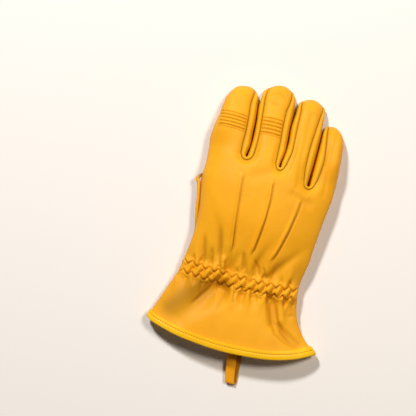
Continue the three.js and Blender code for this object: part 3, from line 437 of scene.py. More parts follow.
class Skin:
    """The points of the whole glove, and the faces of each panel on them."""

    def __init__(self):
        self.points, self.detail, self.faces, self.count = [], [], {}, 0

    def lay(self, x, y, z, relief=0.0, crease=0.0, wall=1.0):
        """Rows of points, with their fine relief, painted crease shade and share of the wall."""
        x, y, z, relief, crease, wall = np.broadcast_arrays(x, y, z, relief, crease, wall)
        ids = np.arange(self.count, self.count + x.size).reshape(x.shape)
        self.points.append(np.stack([x, y, z], -1).reshape(-1, 3).astype(float))
        self.detail.append(np.stack([relief, crease, wall], -1).reshape(-1, 3).astype(float))
        self.count += x.size
        return ids

    def grid(self, panel, ids, turned=False, keep=None):
        """Faces between rows of points. Those where keep is False are left open."""
        a, b, c, d = ids[:-1, :-1], ids[:-1, 1:], ids[1:, 1:], ids[1:, :-1]
        quads = np.stack([a, b, c, d], -1)
        quads = quads[keep] if keep is not None else quads.reshape(-1, 4)
        self.faces.setdefault(panel, []).append(quads[:, ::-1] if turned else quads)

    def triangles(self, panel, rows):
        """Faces with three corners, kept as four with the last one twice."""
        rows = np.array(rows, int)
        self.faces.setdefault(panel, []).append(np.concatenate([rows, rows[:, 2:]], 1))

    def close(self):
        """Joins the lists into arrays, and works out which way each point faces."""
        self.points = np.concatenate(self.points)
        self.relief, self.crease, self.wall = np.concatenate(self.detail).T
        self.faces = {panel: np.concatenate(parts) for panel, parts in self.faces.items()}
        every = np.concatenate(list(self.faces.values()))
        p = self.points
        normal = np.cross(p[every[:, 2]] - p[every[:, 0]], p[every[:, 3]] - p[every[:, 1]])
        self.normals = np.zeros_like(p)
        for corner in range(4):
            np.add.at(self.normals, every[:, corner], normal)
        self.normals /= np.maximum(np.linalg.norm(self.normals, axis=1, keepdims=True), 1e-12)


skin = Skin()
print("an empty skin, with", skin.count, "points")

# %% [markdown]
# The hand reaches from the hem to the knuckles, and widens from the gathered wrist to both.
# Four fingers and three slits have to start from one row of points at its top. Each slit
# ends in a rounded crotch, which is lower than the roots of its fingers.
# The sizes come from the outline of the real glove, a row for each station along it.

# %% Sizes of the hand's outline
HAND = table(
    "y left right",
    (8, -89.5, 75), (14, -88, 71), (18, -86.5, 66), (24, -84, 60), (30, -81.5, 55.5),
    (36, -79, 52), (48, -74, 48.3), (58, -70, 46.8), (66, -67, 46), (75, -65.8, 46.8),
    (90, -63, 50), (102, -61.5, 51.4), (115, -61, 53), (130, -62, 55), (145, -64, 57.5),
    (155, -65, 59.2), (168, -64.2, 60), (182, -64.5, 60),
)
HEM = table(
    "x y",
    (-88, 14.6), (-84, 11.4), (-70, 6.4), (-55, 2.4), (-40, -0.1), (-25, -2.1), (-10, -3.1),
    (5, -3.1), (20, -2.6), (35, -1.1), (50, 2.2), (60, 5.6), (72, 11),
)
print("the hand is", float(HAND["right"][9] - HAND["left"][9]), "mm wide above the wrist")

# %% Sizes of the fingers
INDEX = table(
    "y left right sideRight",
    (181, -64.5, -34, -28.8), (190, -65.2, -34, -27.2), (200, -64.3, -33.2, -26.7),
    (215, -61.2, -33.4, -26.8), (228, -59.2, -34.1, -27.7), (236, -57.8, -33.2, -28.5),
    (241, -57.2, -32.2, -30.8), (246, -57, -31.6, -31),
)
MIDDLE = table(
    "y left right sideLeft sideRight",
    (178, -22, 0, -27.3, 4), (190, -21, 0, -25.6, 6.2), (200, -20.7, 0.3, -25.3, 6.9),
    (215, -21.2, 0, -25.4, 6.5), (228, -21.6, 0.2, -26.2, 6.9), (236, -22, 1.8, -25.6, 6.8),
    (243, -21.4, 2.5, -24.6, 5.7), (248, -19.8, 2, -21.6, 3.3), (253, -19.5, 1.8, -20.3, 2.2),
)
RING = table(
    "y left right sideLeft sideRight",
    (166, 9.6, 29.4, 5, 33.6), (178, 10, 28.3, 5.2, 34.6), (190, 12.8, 28.4, 7.4, 35.5),
    (200, 13, 29, 8.1, 36.1), (215, 13, 30.7, 7.8, 36.7), (228, 13.4, 32.4, 9.4, 36.2),
    (236, 13.2, 33.8, 10.2, 36), (241, 12.7, 34, 11.6, 35.2), (246, 12.7, 34, 12.2, 34.4),
)
LITTLE = table(
    "y left right sideLeft",
    (168, 41.2, 60.2, 35.2), (180, 43.3, 60.5, 36.2), (190, 44, 60.4, 36.9),
    (200, 43.5, 60.2, 37.6), (210, 42.5, 60.2, 38.1), (218, 42, 60.4, 38.6),
    (224, 42, 60.4, 40.8),
)
FINGERS = [
    {"name": "index", "table": INDEX, "columns": 44, "root": (182, 181), "wrap": "left",
     "tip": table("t y", (0, 231), (0.14, 239.4), (0.32, 243.8), (0.6, 245.4), (0.85, 244.5),
                  (1, 241.6))},
    {"name": "middle", "table": MIDDLE, "columns": 30, "root": (181, 178), "wrap": "",
     "tip": table("t y", (0, 247.2), (0.25, 251.4), (0.5, 252.6), (0.75, 251.8), (1, 248))},
    {"name": "ring", "table": RING, "columns": 28, "root": (178, 168), "wrap": "",
     "tip": table("t y", (0, 241.4), (0.25, 244.7), (0.5, 245.4), (0.75, 243.9), (1, 239.6))},
    {"name": "little", "table": LITTLE, "columns": 28, "root": (169, 166), "wrap": "right",
     "tip": table("t y", (0, 223.2), (0.3, 224.4), (0.6, 221.6), (0.85, 216), (1, 208))},
]
print("fingers:", ", ".join(finger["name"] for finger in FINGERS))

# %% Sizes of the slits between them
CROTCHES = table(
    "x bottom quarterX quarterY turn turnQuarter palmX",
    (-28, 175, 4.4, 177.3, 178.4, 179.3, 2.2),
    (4.6, 171.5, 3.4, 173.7, 175, 175.9, 1.7),
    (34.4, 160, 4.2, 162.6, 163.4, 164.4, 1.3),
)
CROTCH_COLUMNS = 10
PALM_SEAM_INSET = 2.0
print("the slits end", CROTCHES["bottom"], "mm up the glove")

# %% The row of points at the knuckles


def column_share(finger):
    """Shares from 0 to 1 across a finger, crowded toward a side that wraps round the hand."""
    t = np.linspace(0, 1, finger["columns"] + 1)
    if finger["wrap"] == "left":
        return t ** 1.5
    if finger["wrap"] == "right":
        return 1 - (1 - t) ** 1.5
    return t


def seam_x(finger, side, y, on_palm):
    """Where a finger's seam runs at a height. On the palm side it bulges and then closes in."""
    if not on_palm or finger["wrap"] == side:
        return read(finger["table"], side, y)
    end = finger["tip"]["y"][0 if side == "left" else -1]
    inward = PALM_SEAM_INSET if side == "left" else -PALM_SEAM_INSET
    bulge = "sideLeft" if side == "left" else "sideRight"
    return read(finger["table"], bulge, y) + inward * ease((end - y) / 8)


def knuckle_row(on_palm):
    """Points across the hand where the fingers begin: finger blocks and slit ends."""
    xs, ys, blocks = [], [], []
    for f, finger in enumerate(FINGERS):
        share = column_share(finger)
        left_y, right_y = finger["root"]
        left = seam_x(finger, "left", left_y, on_palm)
        right = seam_x(finger, "right", right_y, on_palm)
        blocks.append((len(xs), len(xs) + len(share)))
        xs += list(mix(left, right, share))
        ys += list(mix(left_y, right_y, share))
        if f < 3:
            follower = FINGERS[f + 1]
            reach = CROTCHES["palmX" if on_palm else "quarterX"][f]
            x0, bottom, quarter = (CROTCHES[k][f] for k in ("x", "bottom", "quarterY"))
            ring = table(
                "t x y", (0, right, right_y), (1, x0 - reach, quarter), (2, x0, bottom),
                (3, x0 + reach, quarter),
                (4, seam_x(follower, "left", follower["root"][0], on_palm), follower["root"][0]),
            )
            t = np.linspace(0, 4, CROTCH_COLUMNS + 1)[1:-1]
            xs += list(read(ring, "x", t, "t"))
            ys += list(read(ring, "y", t, "t"))
    return np.array(xs), np.array(ys), blocks


print("points across the back:", len(knuckle_row(False)[0]))

# %% Columns that follow the tucks
TUCK_ROW = 92.0
EVEN_ROW = 76.0
EDGE_CROWDING = 1.4


def column_places(xs, blocks):
    """Where each column lies across the hand, at the wrist, at the tucks and at the knuckles."""
    count = len(xs)
    knuckle = 2 * (xs - xs[0]) / (xs[-1] - xs[0]) - 1
    t = np.linspace(-1, 1, count)
    wrist = mix(t, np.sin(t * math.pi / 2), 0.5)
    left, right = read(HAND, "left", TUCK_ROW), read(HAND, "right", TUCK_ROW)
    anchor = [0] + [blocks[f][1] + CROTCH_COLUMNS // 2 - 1 for f in range(3)] + [count - 1]
    spots = [-1.0] + [2 * (x - left) / (right - left) - 1 for x in TUCKS["foot"]] + [1.0]
    tuck = np.zeros(count)
    for i in range(4):
        j = np.arange(anchor[i], anchor[i + 1] + 1)
        t = (j - anchor[i]) / (anchor[i + 1] - anchor[i])
        if i == 0:
            t = t ** EDGE_CROWDING
        if i == 3:
            t = 1 - (1 - t) ** EDGE_CROWDING
        tuck[j] = mix(spots[i], spots[i + 1], t)
    return wrist, tuck, knuckle, anchor


def follow_tucks(x, y, anchor):
    """Columns shifted so that three of them run exactly along the pin tucks."""
    shift = np.zeros(5)
    for f, path in enumerate(tuck_paths()):
        column = anchor[f + 1]
        height = y[column]
        wanted = np.interp(height, [p[1] for p in path[::-1]], [p[0] for p in path[::-1]])
        share = ease((height - 78) / 12) * ease((path[0][1] + 4 - height) / 12)
        shift[f + 1] = (wanted - x[column]) * share
    return x + np.interp(np.arange(len(x)), anchor, shift)


print("columns run along the tucks above y =", TUCK_ROW)

# %% Rows along the hand


def stations(*runs):
    """Shares from 0 to 1, in runs of (up to, how many), closer together where detail is fine."""
    parts, start = [], 0.0
    for end, count in runs:
        parts.append(np.linspace(start, end, count, endpoint=False))
        start = end
    return np.concatenate(parts)


BINDING_SHARE = 0.12
CUFF_SHARES = stations((BINDING_SHARE, 10), (0.86, 36), (1.0, 20))
WRIST_SHARES = stations((1.0, 26))
HAND_SHARES = np.append(stations((0.1, 26), (1.0, 94)), 1.0)
HAND_START = len(CUFF_SHARES) + len(WRIST_SHARES)
print(HAND_START + len(HAND_SHARES), "rows along the hand")

# %% The grid of the hand


def hand_rows(on_palm):
    """Places of all points of one side: x, y and the share across the hand, from -1 to 1."""
    xs, ys, blocks = knuckle_row(on_palm)
    wrist, tuck, knuckle, anchor = column_places(xs, blocks)
    hem_left, hem_right = read(HAND, "left", HEM["y"][0]), read(HAND, "right", HEM["y"][-1])
    hem = read(HEM, "y", mix(hem_left, hem_right, (wrist + 1) / 2), "x")
    upper, lower = (row_mean(row, (wrist + 1) / 2) for row in range(2))
    roots = np.concatenate([np.arange(*block) for block in blocks])
    even = np.interp(np.arange(len(ys)), roots, ys[roots])
    rows = []
    for low, high, shares, fanned in ((hem, lower, CUFF_SHARES, False),
                                      (lower, upper, WRIST_SHARES, False),
                                      (upper, ys, HAND_SHARES, True)):
        for share in shares:
            y = mix(low, high, share)
            if fanned:
                y = mix(low, even, share) + (ys - even) * share ** 3
            left, right = read(HAND, "left", y[0]), read(HAND, "right", y[-1])
            place = wrist
            if fanned:
                place = mix(wrist, tuck, ease((y - EVEN_ROW) / (TUCK_ROW - EVEN_ROW)))
                place = mix(place, knuckle, ease((y - TUCK_ROW) / (ys - TUCK_ROW)))
            x = mix(left, right, (place + 1) / 2)
            if fanned and not on_palm:
                x = follow_tucks(x, y, anchor)
                place = 2 * (x - left) / (right - left) - 1
            rows.append((x, y, place))
    x, y, place = (np.array([row[k] for row in rows]) for k in range(3))
    return x, y, np.clip(place, -1, 1), blocks


print("grid of the hand:", hand_rows(False)[0].shape)

# %% [markdown]
# The same grid gives both sides of the hand: the back arches over it, and the palm is flat
# with rounded sides. Both dip toward the finger seams, where the stitches pull them in.
# A lattice or a subdivided box could be bent to this, with few points. Laying every point
# by its height was chosen because the gathers and tucks need them a millimetre apart.

# %% Lay the two sides of the hand
CROWN_POWER = 2.8
PALM_FLAT = 0.78
SEAM_DROP = 3.2


def slit_path(f, on_palm):
    """The end of a slit, as a path in plan."""
    xs, ys, blocks = knuckle_row(on_palm)
    first, last = blocks[f][1] - 1, blocks[f + 1][0]
    return list(zip(xs[first:last + 1], ys[first:last + 1]))


def seam_dip(x, y, on_palm):
    """How near a place is to the end of a slit, from 0 to 1."""
    dip = np.zeros(np.shape(x))
    for f in range(3):
        away = path_distance(x, y, slit_path(f, on_palm))[0]
        dip = np.maximum(dip, gauss(away, 4.0))
    return dip


def lay_hand(on_palm, shared=None):
    """One side of the hand. The palm takes its outer columns from the back."""
    x, y, place, blocks = hand_rows(on_palm)
    edge = edge_at(y)
    if on_palm:
        out = np.clip((np.abs(place) - PALM_FLAT) / (1 - PALM_FLAT), 0, 1)
        z = mix(edge, floor_at(x, y), np.sqrt(1 - out * out))
        z += seam_dip(x, y, True) * SEAM_DROP / 2
        ripple = 0.5 * np.maximum(0, gathers(x, y)) * ease((y - 30) / 20) * ease((95 - y) / 20)
        bulge = palm_bulge(place, y)
        stitched = gauss(stitch_distance(x, y), 0.6)
        relief = 0.3 * gathers(x, y) * gauss(y - 66, 14) - 0.9 * stitched
        wall = 1 - 0.75 * ease(bulge / 2)
        # the crease value here is painted shade in the palm's stitch grooves
        ids = skin.lay(x - bulge, y, z + ripple, relief, 0.6 * stitched, wall)
        ids[:, 0], ids[:, -1] = shared[:, 0], shared[:, -1]
        return ids, blocks
    arch = np.sqrt(np.clip(1 - np.abs(place) ** CROWN_POWER, 0, 1))
    z = mix(edge, crown_at(x, y), arch) - dent_at(x, y) * arch
    z -= SEAM_DROP * seam_dip(x, y, False) * arch
    relief, crease = back_relief(x, y)
    relief = relief * np.minimum(1, arch * 1.6)
    form = form_share(relief)
    return skin.lay(x, y, z + form, relief - form, crease), blocks


back_hand, blocks = lay_hand(False)
palm_hand, _ = lay_hand(True, back_hand)
print("hand grid", back_hand.shape, "points so far", skin.count)

# %% [markdown]
# Each finger continues the hand's columns to its tip, where back and palm meet in a seam.
# The back rolls over the tip, and drops a little toward the side seams. A capsule would be
# quicker, but the real fingers are flat sewn bags with a rounded end and two long seams.

# %% Sizes of the fingertips
TIP_HEIGHT = 4.6
TIP_ROUND_BACK = 12.0
TIP_ROUND_PALM = 6.0
TIP_CORNER = 0.5
PALM_SEAM_RISE = 3.4
PALM_BLEND = 12
BACK_BLEND = 26
ROUND_TIP = 0.8 + 0.2 * np.sin(np.linspace(0, math.pi / 2, 20))
ALONG = np.concatenate([stations((0.3, 14), (0.6, 48), (0.8, 13)), ROUND_TIP])
print(len(ALONG), "rows along a finger")

# %% Lay a finger


def lay_finger(f, on_palm, root_ids, back=None):
    """One side of a finger. The palm side takes the tip's seam from the back."""
    finger = FINGERS[f]
    across = column_share(finger)[None, :]
    along = ALONG[:, None]
    root = mix(finger["root"][0], finger["root"][1], across)
    end = read(finger["tip"], "y", across, "t")
    y = mix(root, end, along)
    x = mix(seam_x(finger, "left", y, on_palm), seam_x(finger, "right", y, on_palm), across)
    off = np.abs(2 * across - 1) * np.ones_like(y)
    outer_half = {"left": across < 0.5, "right": across > 0.5, "": across < 0}[finger["wrap"]]
    wrapped = outer_half & np.ones_like(y, bool)
    seam = (off > 0.999) & ~wrapped
    edge = edge_at(y)
    if on_palm:
        rise = np.clip((off - 0.5) / 0.5, 0, 1)
        curl = np.where(wrapped, 1 - np.sqrt(1 - rise * rise), rise * rise)
        floor = floor_at(x, y)
        z = mix(floor, np.where(wrapped, edge, floor + PALM_SEAM_RISE), curl)
        reach = mix(TIP_ROUND_PALM, TIP_ROUND_BACK, wrapped * curl)
        near = np.clip((y - (end - reach)) / reach, 0, 1)
        tip = TIP_HEIGHT - TIP_CORNER * seam
        relief, crease = 0.0, 0.0
        z = blend_root(z, root_ids, y - root, PALM_BLEND)
    else:
        crown = crown_at(x, y)
        low = np.where(wrapped, edge, crown - SEAM_DROP)
        arch = 1 - off ** CROWN_POWER
        arch = np.where(wrapped, np.sqrt(np.clip(arch, 0, 1)), arch)
        z = mix(low, crown, arch) - dent_at(x, y) * arch
        near = np.clip((y - (end - TIP_ROUND_BACK)) / TIP_ROUND_BACK, 0, 1)
        tip = TIP_HEIGHT + TIP_CORNER * seam
        relief, crease = back_relief(x, y)
        relief = relief * np.minimum(1, arch * 2)
        z = z + form_share(relief)
        relief = relief - form_share(relief)
        z = blend_root(z, root_ids, y - root, BACK_BLEND)
    z = mix(tip, z, np.sqrt(1 - near * near))
    ids = skin.lay(x, y, z, relief, crease, 1 - 0.9 * ease((along - 0.88) / 0.1))
    ids[0] = root_ids
    if back is not None:
        middle = slice(1, -1)
        ids[-1, middle] = back[-1, middle]
        if finger["wrap"] == "left":
            ids[:, 0] = back[:, 0]
        if finger["wrap"] == "right":
            ids[:, -1] = back[:, -1]
    return ids


def blend_root(z, root_ids, beyond, reach):
    """The finger's height starts from the hand's own height at the knuckles."""
    known = np.concatenate(skin.points)[root_ids][:, 2]
    step = known[None, :] - z[0:1, :]
    return z + step * (1 - ease(beyond / reach))


print("a finger blends into the hand over", BACK_BLEND, "mm on the back")

# %% Lay the four fingers
top = back_hand.shape[0] - 1
fingers = []
for f in range(4):
    first, last = blocks[f]
    back = lay_finger(f, False, back_hand[top, first:last])
    palm = lay_finger(f, True, palm_hand[top, first:last], back)
    skin.grid("back_panel", back)
    skin.grid("palm_panel", palm, turned=True)
    fingers.append((back, palm))
print("fingers laid,", skin.count, "points")

# %% [markdown]
# A side strip, which glove makers call a fourchette, closes the gap between two fingers. It
# runs down the side of one finger, round the end of the slit and up the side of the next.
# Without it the back and palm would meet in one sharp seam. It is a grid between those two
# seams, pushed out so that neighbouring fingers nearly touch, as they do on the real glove.

# %% Sizes of the side strips
STRIPS = ["side_strip_index_middle", "side_strip_middle_ring", "side_strip_ring_little"]
STRIP_COLUMNS = 14
STRIP_FULLNESS = 0.9
STRIP_ROLL = 1.0
SLIT_SHADE = 0.4
STRIP_POWER = 0.42
TURN_HALF = 0.9
print(len(STRIPS), "strips,", STRIP_COLUMNS, "faces wide")

# %% Lay the side strips


def lay_strip(f):
    """The strip between finger f and the next, from one tip round the slit to the other."""
    finger, follower = FINGERS[f], FINGERS[f + 1]
    (back_a, palm_a), (back_b, palm_b) = fingers[f], fingers[f + 1]
    inner = slice(blocks[f][1], blocks[f + 1][0])
    # the two seams of the strip: the upper on the back, the lower on the palm side
    top_ids = np.concatenate([back_a[::-1, -1], back_hand[top, inner], back_b[:, 0]])
    low_ids = np.concatenate([palm_a[::-1, -1], palm_hand[top, inner], palm_b[:, 0]])
    known = np.concatenate(skin.points)
    a, b = known[top_ids], known[low_ids]
    middle = (a + b) / 2
    count = len(ALONG)
    # where the strip's middle line runs in plan: side, end of the slit, side
    x0, turn, quarter = (CROTCHES[k][f] for k in ("x", "turn", "turnQuarter"))
    corner_a, corner_b = middle[count - 1], middle[count + CROTCH_COLUMNS - 1]
    ring = table(
        "t x y", (0, read(finger["table"], "sideRight", corner_a[1]), corner_a[1]),
        (1, x0 - TURN_HALF, quarter), (2, x0, turn), (3, x0 + TURN_HALF, quarter),
        (4, read(follower["table"], "sideLeft", corner_b[1]), corner_b[1]),
    )
    t = np.linspace(0, 4, CROTCH_COLUMNS + 1)[1:-1]
    target = middle[:, :2].copy()
    target[:count, 0] = read(finger["table"], "sideRight", middle[:count, 1])
    target[count:count + len(t)] = np.stack([read(ring, "x", t, "t"), read(ring, "y", t, "t")], -1)
    target[count + len(t):, 0] = read(follower["table"], "sideLeft", middle[count + len(t):, 1])
    # points between the seams, pushed out to that line and rolled over at the top
    share = np.linspace(0, 1, STRIP_COLUMNS + 1)
    full = np.sin(share * math.pi) ** STRIP_POWER
    points = mix(a[:, None, :], b[:, None, :], share[None, :, None])
    lag = mix(share, ease(share), STRIP_FULLNESS)
    points[:, :, 2] = mix(a[:, None, 2], b[:, None, 2], lag[None, :])
    ends = np.minimum(np.arange(len(a)), np.arange(len(a))[::-1]) / 16
    roll = np.sin(np.clip(share / 0.5, 0, 1) * math.pi)[None, :] * ease(ends)[:, None]
    points[:, :, 2] += STRIP_ROLL * roll
    points[:, :, :2] += (target - middle[:, :2])[:, None, :] * full[None, :, None]
    # painted shade deep in the slit, in the middle of the strip
    deep = SLIT_SHADE * gauss(share - 0.5, 0.2)[None, :]
    ids = skin.lay(points[..., 0], points[..., 1], points[..., 2], crease=deep)
    ids[:, 0], ids[:, -1] = top_ids, low_ids
    skin.grid(STRIPS[f], ids, turned=True)
    tip_a, tip_b = back_a[-1, -2], back_b[-1, 1]
    skin.triangles(STRIPS[f], [(tip_a, ids[0, c], ids[0, c + 1]) for c in range(STRIP_COLUMNS)])
    skin.triangles(STRIPS[f], [(ids[-1, c], tip_b, ids[-1, c + 1]) for c in range(STRIP_COLUMNS)])
    return ids


strip_grids = [lay_strip(f) for f in range(3)]
print("strips laid,", skin.count, "points")

# %% [markdown]
# The thumb opens from a hole in the palm and is folded forward beneath it, flat on the
# table. It could be a finger turned by a bone, which would fold the leather through itself
# at the root. Instead rings are laid from the rim of the hole round an elbow and along the
# thumb, so that the bag starts from the palm's own points and stays closed.

# %% The hole in the palm
HOLE_LEFT = -46
HOLE_RIGHT = 4


def hand_row(share):
    """The row of the hand at a share of the way from the wrist to the knuckles."""
    return HAND_START + int(np.abs(HAND_SHARES - share).argmin())


hole_rows = (hand_row(0.19), hand_row(0.46))
known = np.concatenate(skin.points)
rim_x = known[palm_hand[hole_rows[1]]][:, 0]
in_hole = np.nonzero((rim_x >= HOLE_LEFT) & (rim_x <= HOLE_RIGHT))[0]
hole_columns = (int(in_hole[0]), int(in_hole[-1]))
keep = np.ones((palm_hand.shape[0] - 1, palm_hand.shape[1] - 1), bool)
keep[hole_rows[0]:hole_rows[1], hole_columns[0]:hole_columns[1]] = False
skin.grid("back_panel", back_hand)
skin.grid("palm_panel", palm_hand, turned=True, keep=keep)
print("the thumb's hole spans rows", hole_rows, "and columns", hole_columns)

# %% Sizes of the thumb
THUMB_ELBOW = table(
    "angle depth forward down",
    (0, 31, 0, 0), (9, 36, 0.7, 0.4), (19, 38, 1.7, 0.8), (34, 24.4, 2.7, 1.2),
    (62, 15.4, 3.8, 1.6), (90, 11.6, 5.2, 1.9),
)
THUMB = table(
    "y left right top under",
    (82, -39, 6, 13.2, 0), (95, -43.5, 7, 13.2, 0), (108, -47.5, 8.2, 13.2, 0),
    (120, -50.5, 10, 12, 0), (126, -49.3, 11.2, 11.1, 0), (138, -45.5, 12.4, 11, 0),
    (151, -41.4, 14.4, 10.9, 0), (163, -35.5, 16.4, 10.8, 0), (171, -29, 14.6, 10.3, 0.2),
    (177, -21.5, 11, 9.4, 1.2), (181, -12, 7.4, 7.4, 2.6),
)
THUMB_TIP = (-2.2, 182.8, 5.0)
THUMB_ROUND = 0.62
THUMB_START = 128
THUMB_END = 176
THUMB_CLOSING = 5
THUMB_SEAM = ((1.5, 88), (3.5, 106), (6.5, 122), (8.6, 138), (10.6, 152), (10.8, 163), (6, 173))
print("thumb", float(THUMB["y"][-1] - THUMB["y"][0]), "mm long")

# %% Wrinkles of the thumb
THUMB_CREASES = (
    (1.5, -1.0, ((-43, 121), (-35, 115), (-27, 116), (-20, 111))),
    (1.3, -0.9, ((-38, 107), (-29, 110), (-19, 106), (-9, 109))),
    (1.1, -0.8, ((-25, 101), (-14, 102), (-4, 99))),
    (1.1, -0.7, ((-32, 95), (-19, 96), (-6, 93))),
    (2.2, -0.5, ((-30, 130), (-24, 140), (-22, 152))),
    (0.6, -0.7, THUMB_SEAM),
)


def thumb_relief(x, y):
    """Wrinkles at the thumb's root and the groove of its side seam, with painted shade in that
    groove.
    """
    lift = np.zeros(np.shape(x))
    for reach, height, path in THUMB_CREASES:
        lift += height * gauss(path_distance(x, y, path)[0], reach)
    return lift, 0.7 * gauss(path_distance(x, y, THUMB_SEAM)[0], 0.5)


print(len(THUMB_CREASES), "wrinkles and grooves")

# %% Lay the thumb


def lay_thumb():
    """Rings from the rim of the hole, round the elbow and along the thumb to its tip."""
    (r0, r1), (c0, c1) = hole_rows, hole_columns
    # the rim, once round the hole, and each of its points as a share across and along
    rim = [(r0, j) for j in range(c0, c1)] + [(r, c1) for r in range(r0, r1)]
    rim += [(r1, j) for j in range(c1, c0, -1)] + [(r, c0) for r in range(r1, r0, -1)]
    rim = np.array(rim)
    a = 2 * (rim[:, 1] - c0) / (c1 - c0) - 1
    b = (rim[:, 0] - r0) / (r1 - r0)
    c = 2 * b - 1
    # the same shares on a rounded square, which becomes the thumb's section
    round_a = a * np.sqrt(1 - THUMB_ROUND / 2 * c * c)
    round_b = (1 + c * np.sqrt(1 - THUMB_ROUND / 2 * a * a)) / 2
    hinge = known[palm_hand[r1, (c0 + c1) // 2]]
    start = known[palm_hand[rim[:, 0], rim[:, 1]]]
    rings = [palm_hand[rim[:, 0], rim[:, 1]]]

    def ring(x, y, z, wrinkled):
        lift, crease = thumb_relief(x, y)
        under = wrinkled * (b < 0.3)
        rings.append(skin.lay(x, y, z, lift * under, crease * under))

    # the elbow: the section swings down about the far side of the hole
    for angle in np.linspace(2, 90, 30):
        depth, forward, down = (read(THUMB_ELBOW, k, angle, "angle")
                                for k in ("depth", "forward", "down"))
        settle = ease(angle / 16)
        reach = (1 - mix(b, round_b, settle)) * depth
        y = hinge[1] + forward - reach * math.cos(math.radians(angle))
        z = np.maximum(0, hinge[2] - down - reach * math.sin(math.radians(angle)))
        x = mix(read(THUMB, "left", y), read(THUMB, "right", y), (round_a + 1) / 2)
        ring(mix(start[:, 0], x, settle), y, z, ease((angle - 20) / 30))
    # the straight part, then the narrowing end
    near_tip = THUMB_END + THUMB_CLOSING * np.sin(np.linspace(0, 1.57, 10)[1:])
    for y in np.concatenate([np.linspace(THUMB_START, THUMB_END, 60), near_tip]):
        left, right, high, under = (read(THUMB, k, y) for k in ("left", "right", "top", "under"))
        x = mix(left, right, (round_a + 1) / 2)
        ring(x, np.full(len(a), y), mix(under, high, round_b), 1.0)
    # a cap that closes on the tip
    last = np.concatenate(skin.points)[rings[-1]]
    centre = np.array(THUMB_TIP)
    for turn in np.linspace(0.2, 1.5, 6):
        cap = centre + (last - centre) * math.cos(turn)
        rings.append(skin.lay(cap[:, 0], mix(last[:, 1], centre[1], math.sin(turn)), cap[:, 2]))
    ids = np.array(rings)
    ids = np.concatenate([ids, ids[:, :1]], 1)
    skin.grid("thumb", ids, turned=True)
    tip = int(skin.lay(*[np.array([v]) for v in THUMB_TIP])[0])
    skin.triangles("thumb", [(i, tip, j) for i, j in zip(ids[-1, :-1], ids[-1, 1:])])


lay_thumb()
print("points with the thumb:", skin.count)

# %% Normals of the closed skin
skin.close()
for strip in strip_grids:
    first, last = skin.normals[strip[:, 0]], skin.normals[strip[:, -1]]
    for c in range(1, STRIP_COLUMNS):
        n = mix(first, last, c / STRIP_COLUMNS)
        own = skin.normals[strip[:, c]]
        n = mix(n, own, 0.5)
        skin.normals[strip[:, c]] = n / np.linalg.norm(n, axis=1, keepdims=True)
print("skin of", len(skin.points), "points")

# %% [markdown]
# A panel on the skin has no thickness yet, but leather is 1.5 mm thick and its cut edges
# show at the seams. Blender's Solidify modifier could thicken it. Here the sheet is made
# point by point, so that the border stands back from the seam and is rounded over, and so
# that the nearness of a seam can be kept as an attribute for painted shade along the seams.

# %% A mesh from points in millimetres


def make_mesh(name, points, faces, material, attributes=None):
    """A smooth piece at the origin, from points in millimetres."""
    mesh = bpy.data.meshes.new(name)
    mesh.from_pydata((np.asarray(points) * MM).tolist(), [], [list(face) for face in faces])
    mesh.update()
    mesh.polygons.foreach_set("use_smooth", [True] * len(mesh.polygons))
    for key, values in (attributes or {}).items():
        layer = mesh.attributes.new(key, "FLOAT", "POINT")
        layer.data.foreach_set("value", np.asarray(values, np.float32))
    mesh.materials.append(material)
    piece = bpy.data.objects.new(name, mesh)
    bpy.context.scene.collection.objects.link(piece)
    return piece


def tidy_face(face):
    """A face without the corners that it names twice."""
    out = []
    for v in face:
        if v not in out:
            out.append(int(v))
    return out


print("a face with a doubled corner:", tidy_face([1, 2, 2, 3]))

# %% A panel with thickness
WALL = 1.5
SEAM_GAP = 0.2
SEAM_ROUND = 0.35
SEAM_REACH = 6
SEAM_FADE = 0.72
SEAM_SHADE = 0.72


